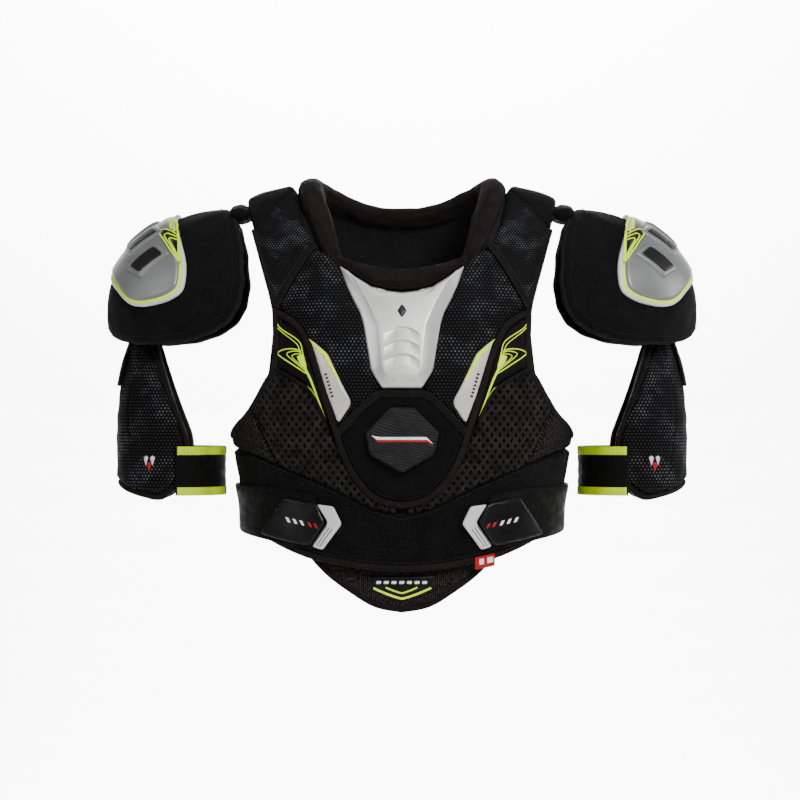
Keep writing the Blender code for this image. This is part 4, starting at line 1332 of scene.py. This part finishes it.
def make_neck_roll():
    """The stuffed roll that goes on from the neckline round the neck."""
    half = [(54, 36.5), (61, 38.5), (71.5, 47), (79, 56), (85.5, 65), (89, 74), (90.5, 81), (90.5, 87),
            (88.5, 94), (81, 104), (64, 112.5), (42, 118), (21, 120.5), (0, 121)]
    whole = half + [(-x, a) for x, a in half[-2::-1]]
    path = [tuple(raised(torso_front, arch(x, a), -6 * MM)[0]) for x, a in whole]
    sizes = [4, 6, 9.5, 11.2, 12, 12.4, 12.6, 12.6, 12.6, 12.4, 12.2, 12, 12, 12]
    made = roll("neck_roll", "ribbed", path, sizes + sizes[-2::-1], uneven=0.6)
    blown(made, 1.4, 12.0)
    declared(made, None, ["nape_roll", "left_front_neck_roll", "right_front_neck_roll"],
             bends=("back", "front", (0, 0.012, 0), (0, -0.034, 0)))


def make_front_core():
    """The lining behind the front panels."""
    neck = [arch(91, 82), arch(90, 72), arch(85, 60), *on_torso([(76, -36), (68, -42), (58, -49)])]
    outline = on_torso([(0, -76), (30, -72), (48, -61)]) + neck[::-1] + [arch(144, 82)]
    outline += on_torso(curve(ARMHOLE, 3)) + [girth(SIDE_EDGE, z) for z in (-212, -228, -262, -302)]
    outline += on_torso(HEM[::-1])
    made = pad("front_core", "lining", torso_front, mirrored_outline(outline), CORE_BASE, 5.6, spacing=7,
               edge=4)
    declared(made, "front", ["front_core"])


# ---------------------------------------------------------------- the back

def make_back_core():
    """The lining of the back and the piping round it."""
    outline = on_torso([(0, -9), (30, -6)]) + [arch(60, 66), arch(80, 74), arch(88, 82), arch(104, 83)]
    outline += [arch(144, 82), arch(144, 66)] + on_torso([(136, -60), (130, -110), (136, -160), (147, -200)])
    outline += [girth(62, -240), girth(55, -300), girth(50, -325)] + on_torso([(60, -338), (0, -342)])
    made = pad("back_core", "lining", torso_back, mirrored_outline(outline), CORE_BASE, 7, spacing=7, edge=4,
               uneven=0.4)
    declared(made, "back", ["back_core"])
    rim = softened(mirrored_outline(outline), 4 * MM, 3)
    made = rim_tape("back_binding", "piping", torso_back, closed_line(rim), 6.5, -13.2, -3.2, closed=True)
    declared(made, "back")


def make_back_panels():
    """The printed panels over the shoulder blades, with their seams."""
    printed = [arch(107, 81), arch(106.5, 73), arch(92, 65), arch(68, 57)]
    printed += on_torso([(44, -32), (44, -100), (38, -187), (140, -187), (128, -158), (122, -112),
                         (128, -62)])
    printed += [arch(137, 68), arch(137, 81)]
    seams = [(on_torso([(125, -100), (90, -120), (44, -118)]), 1.6, 1.6)]
    made = pad("left_back_panel", "dot_print", torso_back, printed, -6.4, 6.4, spacing=4, edge=6, crown=2.4,
               grooves=seams, uneven=0.4)
    blown(made, 2)
    declared(made, "back", ["left_back_panel"])
    for gap in (-2.4, 2.4):
        stitches("back", "black", torso_back, beside(seams[0][0], gap * MM), 0.2, under="left_back_panel")


def spine_facets(top, low, wide):
    """The relief of a spine plate: sloping edges, a bent groove across it and a groove down its middle."""
    middle = (top + low) / 2

    def relief(places, away):
        at = torso_back(places) / MM
        x, z = np.abs(at[:, 0]), at[:, 2]
        height = 3.4 * np.clip(away / 8, 0, 1)
        groove = np.clip(1 - np.abs(z - middle + 6 * (x / wide)) / 2.4, 0, 1)
        groove = groove * np.clip((wide - 12 - x) / 3, 0, 1)
        return height - 2.4 * groove - 1.8 * np.exp(-((x / 1.6) ** 2)) * np.clip(away / 6, 0, 1)

    return relief


def make_spine_plates():
    """The three silver plates down the spine and the tape round each."""
    plates = (("upper", -34, -90, 41, 38), ("middle", -98, -146, 38, 33), ("lower", -154, -199, 33, 22))
    for place, top, low, wide, narrow in plates:
        name = f"spine_plate_{place}"
        outline = on_torso(both_halves([(0, top), (wide * 0.7, top), (wide, top - 10), (narrow, low + 8),
                                        (narrow * 0.6, low), (0, low - 4)]))
        # in the same darkened silver as the cap's field, which paints shade
        made = pad(name, "silver_painted_shade", torso_back, outline, -5.5, 8, spacing=3, levels=2, edge=3,
                   relief=spine_facets(top, low, wide), uneven=0)
        declared(made, "back", [name])
        rim = closed_line(softened(outline, 4 * MM, 2))
        made = tape(name + "_edge", "edging", torso_back, rim, 4.5, -5, 5, closed=True)
        declared(made, "back")


def make_lumbar_pad():
    """The mesh pad over the small of the back, with its sewn channels."""
    lumbar = on_torso([(0, -214), (26, -210), (34, -190.5), (140, -190.5), (147, -204)])
    lumbar += [girth(60, -240), girth(53, -300), girth(48, -322)] + on_torso([(58, -334), (0, -338)])
    grooves = [(on_torso([(side * a, -205), (side * b, -330)]), 1.6, 2.0) for a, b in ((48, 30), (95, 62))
               for side in (-1, 1)]
    grooves += [(on_torso([(-150, z + 10), (-70, z), (0, z - 6), (70, z), (150, z + 10)]), 1.6, 1.8)
                for z in (-248, -290)]
    made = pad("lumbar_pad", "spacer_mesh", torso_back, mirrored_outline(lumbar), -6.4, 6.6, spacing=5.6,
               levels=2, edge=6, crown=2, relief=diamonds(torso_back, 0.9), grooves=grooves)
    blown(made, 3)
    declared(made, "back", ["lumbar_pad"])
    for i, (line, _, _) in enumerate(grooves[:4]):
        seam = tape(f"lumbar_seam_{i}", "edging", torso_back, resampled(line, 4 * MM), 3.6, -0.5, 1.7,
                    under="lumbar_pad")
        declared(seam, "back")
        for gap in (-1.1, 1.1):
            stitches("back", "black", torso_back, beside(resampled(line, 4 * MM), gap * MM), 1.2,
                     under="lumbar_pad", sided=False)


def make_shoulder_arch():
    """The padding over the shoulder."""
    outline = [arch(103, 80), arch(109, 74), *on_torso([(122, -3), (134, -13), (144, -23)]), arch(149, 68),
               arch(149, 101), arch(103, 101)]
    made = pad("left_shoulder_arch", "black_knit", torso_front, outline, -12.5, 15.2, spacing=3.5, edge=6,
               crown=1.8, uneven=0.5, rim_share=0.5)
    blown(made, 2.5)
    declared(made, None, ["left_shoulder_arch"],
             bends=("back", "front", (0, 0.004, 0), (0, -0.022, 0)))


def make_cap_flap():
    """The roll of cloth that the cap hinges on."""
    path = [(158 * MM, y * MM, (-0.5 - y * y * 0.004) * MM) for y in (-42, -34, -17, 0, 17, 34, 42)]
    made = roll("left_cap_flap", "black_knit", path, [10.5] * 7, step=2, uneven=0.4, squash=0.66)
    blown(made, 1.5)
    declared(made, None, ["left_cap_flap"],
             bends=("back", "left_cap", (0.149, 0, 0), (0.166, 0, 0)))


# ---------------------------------------------------------------- straps

def make_belly_strap():
    """The elastic round the waist. Its end hooks on to the loop band."""
    peel = math.degrees(seen(134, -295)[0] / GIRTH_RADIUS)
    back_low, back_high = [girth(128, -312), girth(90, -312)], [girth(128, -266), girth(90, -266)]
    low = curve(back_low + [girth(peel, -318.5), *on_torso([(112, -324), (88, -328.5), (78, -329)])], 5)
    high = curve(back_high + [girth(peel, -268), *on_torso([(117, -270), (95, -273), (83, -276)])], 5)
    made = band("left_belly_strap", "elastic", torso_front, low, high, 1.6, 2.4, step=2.2, columns=16,
                ridges=9)
    hinge = raised(torso_front, seen(134, -295), 4 * MM)[0]
    declared(made, None, ["left_belly_elastic", "left_strap_end"],
             bends=("back", "left_belly_tab", tuple(hinge + (0.0045, 0.0045, 0)),
                    tuple(hinge + (-0.0045, -0.0045, 0))))


def make_strap_patch():
    """The film patch on the strap's end, stitched round its rim."""
    patch = [(110, -277.5), (80, -284), (71.5, -302), (86, -325), (132, -314)]
    made = front_pad("left_strap_patch", "patch_film", patch, 4.1, 2.6, spacing=2.5, edge=1.6, crown=0.5,
                     uneven=0.15, corner=1)
    declared(made, "left_belly_tab", ["left_strap_patch"])
    inner = [(110, -280.5), (82.5, -286.3), (75, -302), (87.5, -321.5), (126, -312.5), (110, -280.5)]
    stitches("left_belly_tab", "black", torso_front, on_torso(inner), 0.05, pitch=2.6, length=1.7, width=0.6,
             under="left_strap_patch")


def make_strap_chevron():
    """The silver chevron at the tip of the strap and its fine lines."""
    chevron = [(80, -284.5), (64.5, -286.5), (56.5, -303.5), (74.5, -328.5), (84.5, -325), (69.5, -302)]
    made = front_pad("left_strap_chevron", "silver_pale", chevron, 3.6, 2.4, spacing=2, edge=1.4,
                     uneven=0.05, corner=1)
    declared(made, "left_belly_tab", ["left_strap_chevron"])
    for i in range(3):
        line = [(82.2 - 2.7 * i, -323.6 - 0.8 * i), (70.2 - 2.5 * i, -305 - 1.6 * i)]
        made = front_tape(f"left_chevron_line_{i}", "ink", line, 0.8, 0.04, 0.2, under="left_strap_chevron",
                          step=1)
        declared(made, "left_belly_tab")


def make_patch_bars():
    """The slanted bars printed on the patch."""
    white, red = "white_film", "red_film"
    for i, (finish, x) in enumerate(((white, 108), (white, 101.5), (white, 95), (red, 88), (red, 82.5))):
        z = -297 - 0.22 * (108 - x)
        bar = [(x, z), (x - 2.6, z - 0.6), (x - 4.8, z - 5.4), (x - 2.2, z - 4.8)]
        mark(f"left_patch_bar_{i}", finish, on_torso(bar), "left_strap_patch", "left_belly_tab")


def make_arm_strap():
    """The elastic round the arm, with lime edges. Its front end hooks on under the guard."""
    low, high = strap_at(91, -278), strap_at(91, -230)
    ends = (strap_at(266, -278), strap_at(266, -230))
    bends = ("left_biceps", "left_arm_tab", (0.1805, -0.0327, -0.254), (0.195, -0.0451, -0.254))
    made = band("left_arm_strap", "elastic", strap_loop, [ends[0], low], [ends[1], high], 0, 2.2, ridges=9)
    declared(made, None, ["left_arm_strap", "left_arm_strap_tab"], bends=bends)
    for name, z in (("left_arm_lime_upper", -230), ("left_arm_lime_lower", -269.5)):
        line = [strap_at(a, z - 0.3) for a in (264, 93)], [strap_at(a, z - 8.5) for a in (264, 93)]
        made = band(name, "lime_web", strap_loop, line[1], line[0], 2.0, 0.8, columns=6)
        declared(made, None, bends=bends)


# ---------------------------------------------------------------- the belly pad

EXTENSION_BADGE = [(0, -353.5), (34, -353), (31, -364), (20, -372), (0, -377.5)]


def make_extension():
    """The belly pad that slides behind the hem, and its binding."""
    low = curve([(0, -388), (27, -383), (53, -368.5), (76, -353), (93, -337)], 4)
    half = [(0, -302), (48, -302), (60, -318), (88, -328)] + low[::-1]
    outline = on_torso(both_halves(half))
    made = pad("extension_pad", "melange", torso_front, outline, -23, 8.6, spacing=4, edge=6, crown=1.2,
               uneven=0.5)
    blown(made, 2.5, keep=[on_torso(both_halves(EXTENSION_BADGE))])
    declared(made, "extension", ["extension_pad"])
    edge = on_torso([(93, -336), *low[::-1]])
    edge = edge + [(-u, v) for u, v in edge[::-1][1:]]
    made = rim_tape("extension_binding", "binding", torso_front, edge[::-1], 7, -23.2, -13.4)
    declared(made, "extension")
    stitches("extension", "black", torso_front, [(u * 0.93, v + 6.6 * MM) for u, v in edge], -14.0,
             sided=False)


def make_extension_badge():
    """The film badge at the belly pad's tip, with two lime chevrons and a row of bars."""
    badge = on_torso(both_halves(EXTENSION_BADGE))
    made = pad("extension_badge", "patch_film", torso_front, badge, 0.1, 1.4, spacing=2, edge=1,
               under="extension_pad", uneven=0.05, corner=1)
    declared(made, "extension", ["extension_badge"])
    chevrons = ([(28.5, -364.8), (0, -375), (-28, -365)], [(15, -364.3), (0, -369.8), (-16, -364.3)])
    for i, line in enumerate(chevrons):
        made = front_tape(f"extension_lime_{i}", "lime", line, 2.1 - 0.5 * i, 0.05, 0.35,
                          under="extension_badge", step=1)
        declared(made, "extension")
    for i in range(7):
        x = -22.5 + 7.5 * i
        bar = [(x - 2.4, -358.2), (x + 2.4, -358.2), (x + 1.8, -361), (x - 3, -361)]
        mark(f"extension_bar_{i}", "white_film", on_torso(bar), "extension_badge", "extension",
             thickness=0.25)


# ---------------------------------------------------------------- the shoulder caps

def doubled(half):
    """The whole outline of a piece whose half lies at positive u, with its ends on the line u = 0."""
    return half + [(-u, v) for u, v in half[-2:0:-1]]


def cap_insert():
    """The outline of the cap's moulded insert."""
    front = on_cap([(214, -28), (209, -46), (207, -62), (209, -78), (216, -86), (229, -92), (247, -95.5),
                    (262, -93), (273, -82)])
    return doubled([cap_seen(216, -6)] + curve(front, 3) + [cap_seen(282, -66)])


def make_cap_pad():
    """The shoulder cap: foam under knitted cloth, with piping round its rim."""
    half = [(168, 2), (160, -14), (155, -38), (153, -70), (157, -92), (166, -108), (182, -119.5),
            (205, -127.5), (232, -130.5), (258, -130.5), (275, -127), (287, -121)]
    outline = doubled(on_cap(half))
    insert = cap_insert()
    seat = [(softened(insert, 3 * MM, 1).tolist(), 3.0, 0.9)]
    made = pad("left_cap_pad", "black_knit", cap_dome, outline, -14, 14, spacing=4.6, edge=6, crown=1.4,
               grooves=seat, uneven=0.35, rim_share=0.86)
    rim = softened(outline, 4 * MM, 3)
    blown(made, 4, keep=[insert])
    declared(made, "left_cap", ["left_cap_pad"])
    made = tape("left_cap_piping", "piping", cap_dome, closed_line(rim), 0, 0, 6, closed=True,
                section=round_section(3.2, 6.2, -7.4))
    declared(made, "left_cap")
    stitches("left_cap", "black", cap_dome, inset(rim, 7.5 * MM), 0.1, pitch=3.6, under="left_cap_pad")


def moulded(_, away):
    """The relief of the cap's insert: a flat rim, then a rounded step up."""
    step = np.clip((away - 6.4) / 2.6, 0, 1)
    return 1.3 * step * step * (3 - 2 * step)


def make_cap_insert():
    """The moulded insert on the cap, with its field in a silver darkened as painted shade of a dark
    reflection, and the lime line along its rim.
    """
    insert = cap_insert()
    made = pad("left_cap_insert", "silver_pale", cap_dome, insert, 0.6, 3.6, spacing=3, levels=2, edge=2.2,
               relief=moulded, uneven=0, corner=1)
    declared(made, "left_cap", ["left_cap_insert"])
    field = inset(softened(insert, 2.4 * MM, 2), 6.2 * MM)[:-1]
    # the field is painted darker than the insert's pale rim: painted shade standing in for a dark reflection
    made = pad("left_cap_field", "silver_painted_shade", cap_dome, field, 0.05, 0.7, spacing=2.6, edge=1.2,
               under="left_cap_insert", uneven=0, corner=1)
    declared(made, "left_cap")
    line = inset(softened(insert, 2 * MM, 3), 4.6 * MM)
    made = tape("left_cap_lime_line", "lime", cap_dome, line, 2.8, 0.03, 0.5, under="left_cap_insert",
                step=1.2, closed=True)
    declared(made, "left_cap")


def make_cap_bars():
    """Slanted bars embossed along the insert's middle."""
    # the plinths share the field's darkened silver, which is painted shade
    layers = (("plinth", 4.2, "silver_painted_shade", -0.4, 2.6), ("bar", 0, "ink", 2.1, 0.7))
    for i, (u, v) in enumerate(((-70, -9), (-36, 3), (0, 7), (36, 3), (70, -9))):
        for name, grow, finish, base, thick in layers:
            low, high = v - 14 - grow, v + 14 + grow
            bar = [(u - 12 - grow, low), (u + 5 + grow, low), (u + 12 + grow, high), (u - 5 - grow, high)]
            made = pad(f"left_cap_{name}_{i}", finish, cap_dome, flat_place(bar), base, thick, spacing=1.6,
                       edge=4 if grow else 0.8, under="left_cap_field", uneven=0, corner=3, rim_share=0.1)
            declared(made, "left_cap")


def make_cap_lines():
    """The lime lines at the insert's inboard edge, on a dark fan."""
    lines = (([(217, -28), (224, -24.5), (232.5, -26.5), (226, -37), (212.5, -55)], 1.5, (1, 1)),
             ([(216.5, -31), (222, -28.5), (227.5, -30.2), (221, -40), (212.3, -54)], 1.4, (1, 1)),
             ([(216, -34), (219.8, -32.3), (222.8, -34), (217.5, -43), (212, -53.5)], 1.3, (1, 1)),
             ([(219, -9), (217, -18), (215.5, -27), (213.5, -38), (212.3, -54)], 3.4, (0.6, 1)),
             ([(222.6, -10), (220.6, -18), (218.8, -26)], 1.2, (1, 1)))
    fan = [(219, -7), (216, -18), (215, -26), (223.5, -22.5), (234.5, -26), (228, -37), (211.5, -57),
           (212, -40), (213, -25), (216.5, -8)]
    made = pad("left_cap_fan", "ink", cap_dome, on_cap(fan), 0.05, 0.35, spacing=1.4, edge=0.5,
               under="left_cap_field", uneven=0, corner=1)
    declared(made, "left_cap")
    for i, (points, width, shares) in enumerate(lines):
        made = tape(f"left_cap_lime_{i}", "lime", cap_dome, curve(on_cap(points), 4), width, 0.03, 0.4,
                    under="left_cap_fan", step=0.9, shares=shares)
        declared(made, "left_cap")


def make_shell():
    """The hard shell inside the cap."""
    half = [(192, -1), (178, -30), (172, -60), (180, -88), (205, -103), (240, -108), (286, -106)]

    def slots(places, away):
        ribs = np.sin(places[:, 1] / MM * 2 * math.pi / 24)
        return -0.5 * np.clip(ribs * 3, 0, 1) * np.clip((away - 6) / 3, 0, 1)

    made = pad("left_cap_shell", "hard_plastic", cap_dome, doubled(on_cap(half)), -18, 2.2, spacing=5,
               edge=1.5, relief=slots, uneven=0)
    declared(made, "left_cap", ["left_cap_shell"])


# ---------------------------------------------------------------- the upper arm

def make_guard():
    """The biceps guard and its binding."""
    half = [(0, -117), (30, -118), (48, -124), (62, -135), (74, -156), (88, -190), (101, -222), (101, -242),
            (92, -268), (75, -281), (40, -274), (0, -264)]
    outline = doubled(on_guard(half))
    seams = [(on_guard([(s * 44, -130), (s * 38, -200), (s * 52, -276)]), 1.6, 1.8) for s in (-1, 1)]
    made = pad("left_biceps_pad", "dot_print", guard_tube, outline, -13, 13.2, spacing=5, edge=8, crown=0.8,
               grooves=seams, uneven=0.6)
    marked = on_guard([(56, -258), (74, -258), (74, -236), (56, -236)])
    blown(made, 3.5, keep=[marked])
    declared(made, "left_biceps", ["left_biceps_pad"])
    rim = softened(outline, 4 * MM, 3)
    made = tape("left_biceps_binding", "binding", guard_tube, closed_line(rim), 0, 0, 6, closed=True,
                section=round_section(3.0, 6.8, -7.0))
    declared(made, "left_biceps")
    stitches("left_biceps", "black", guard_tube, inset(rim, 6.6 * MM), 0.1, under="left_biceps_pad")


def make_guard_marks():
    """Three small diamonds on the guard."""
    marks = (("silver_pale", 62, -246), ("silver_pale", 69, -246), ("red_film", 65.5, -252))
    for i, (finish, turn, low) in enumerate(marks):
        wide = math.radians(5) * GUARD_RADIUS / 2
        u, v = guard_at(turn, low)
        bar = [(u - wide, v + 5 * MM), (u, v + 7 * MM), (u + wide, v + 5 * MM), (u, v - 3 * MM)]
        mark(f"left_biceps_mark_{i}", finish, bar, "left_biceps_pad", "left_biceps", guard_tube,
             0.1, 0.35, 0.9)


def make_adjuster():
    """The strap that hangs the guard from the cap."""
    low, high = on_guard([(18, -172), (18, -103)]), on_guard([(-18, -172), (-18, -103)])
    made = band("left_adjuster_strap", "elastic", guard_tube, low, high, 2.2, 2.2, ridges=7)
    declared(made, "left_adjuster", ["left_adjuster_strap"])


for make in (make_front_core, make_yoke, make_chest, make_yoke_seam, make_sternum_plate, make_shield,
             make_shield_edges, make_badge, make_wedge, make_graphic, make_graphic_lines, make_mesh,
             make_armhole_edge, make_loop_band, make_tag, make_front_collar, make_neck_roll,
             make_back_core, make_back_panels, make_spine_plates, make_lumbar_pad, make_shoulder_arch,
             make_cap_flap, make_belly_strap, make_strap_patch, make_strap_chevron, make_patch_bars,
             make_arm_strap, make_extension, make_extension_badge, make_cap_pad, make_cap_insert,
             make_cap_bars, make_cap_lines, make_shell, make_guard, make_guard_marks, make_adjuster,
             make_threads):
    make()


# ---------------------------------------------------------------- the studio

def make_studio():
    """The curved backdrop, the world, five lights and the camera."""
    floor_z, wall_y, half = -1.15, 7.0, 40.0
    profile = [(-half, floor_z), (wall_y - 1, floor_z)]
    profile += [(wall_y - 1 + math.sin(t), floor_z + 1 - math.cos(t)) for t in np.linspace(0.1, 1.5, 12)]
    profile += [(wall_y, 4.0)]
    points = [(side * half, y, z) for y, z in profile for side in (-1, 1)]
    faces = [(2 * i, 2 * i + 1, 2 * i + 3, 2 * i + 2) for i in range(len(profile) - 1)]
    mesh = bpy.data.meshes.new("backdrop")
    mesh.from_pydata(points, [], faces)
    backdrop = bpy.data.objects.new("backdrop", mesh)
    bpy.context.scene.collection.objects.link(backdrop)
    paper = bpy.data.materials.new("paper")
    paper.use_nodes = True
    shader = paper.node_tree.nodes["Principled BSDF"]
    shader.inputs["Base Color"].default_value = (0.9, 0.9, 0.9, 1)
    shader.inputs["Roughness"].default_value = 0.9
    mesh.materials.append(paper)

    world = bpy.data.worlds.new("studio")
    world.use_nodes = True
    background = world.node_tree.nodes["Background"]
    background.inputs["Color"].default_value = (1, 1, 1, 1)
    background.inputs["Strength"].default_value = 0.24
    bpy.context.scene.world = world
    chest, wall = Vector((0, 0, -0.18)), Vector((0, wall_y, -0.3))
    for name, place, target, size, energy in (
        ("key", (1.1, -2.9, 1.25), chest, 0.8, 145), ("left_fill", (-2.4, -1.5, 0.5), chest, 1.1, 26),
        ("right_fill", (2.8, 0.3, 0.5), chest, 1.1, 45), ("top", (0.3, -0.4, 2.2), chest, 1.4, 34),
        ("backdrop", (0, 4.6, 2.4), wall, 2.2, 1500),
    ):
        light = bpy.data.lights.new(name, "AREA")
        light.shape, light.size, light.energy = "SQUARE", size, energy
        lamp = bpy.data.objects.new(name, light)
        lamp.location = place
        lamp.rotation_euler = (target - Vector(place)).to_track_quat("-Z", "Y").to_euler()
        bpy.context.scene.collection.objects.link(lamp)

    data = bpy.data.cameras.new("camera")
    data.lens, data.sensor_width = 187, 36
    camera = bpy.data.objects.new("camera", data)
    camera.location = (-0.0019, -4.08, -0.18525)
    camera.rotation_euler = (math.pi / 2, 0, 0)
    bpy.context.scene.collection.objects.link(camera)
    bpy.context.scene.camera = camera


make_studio()
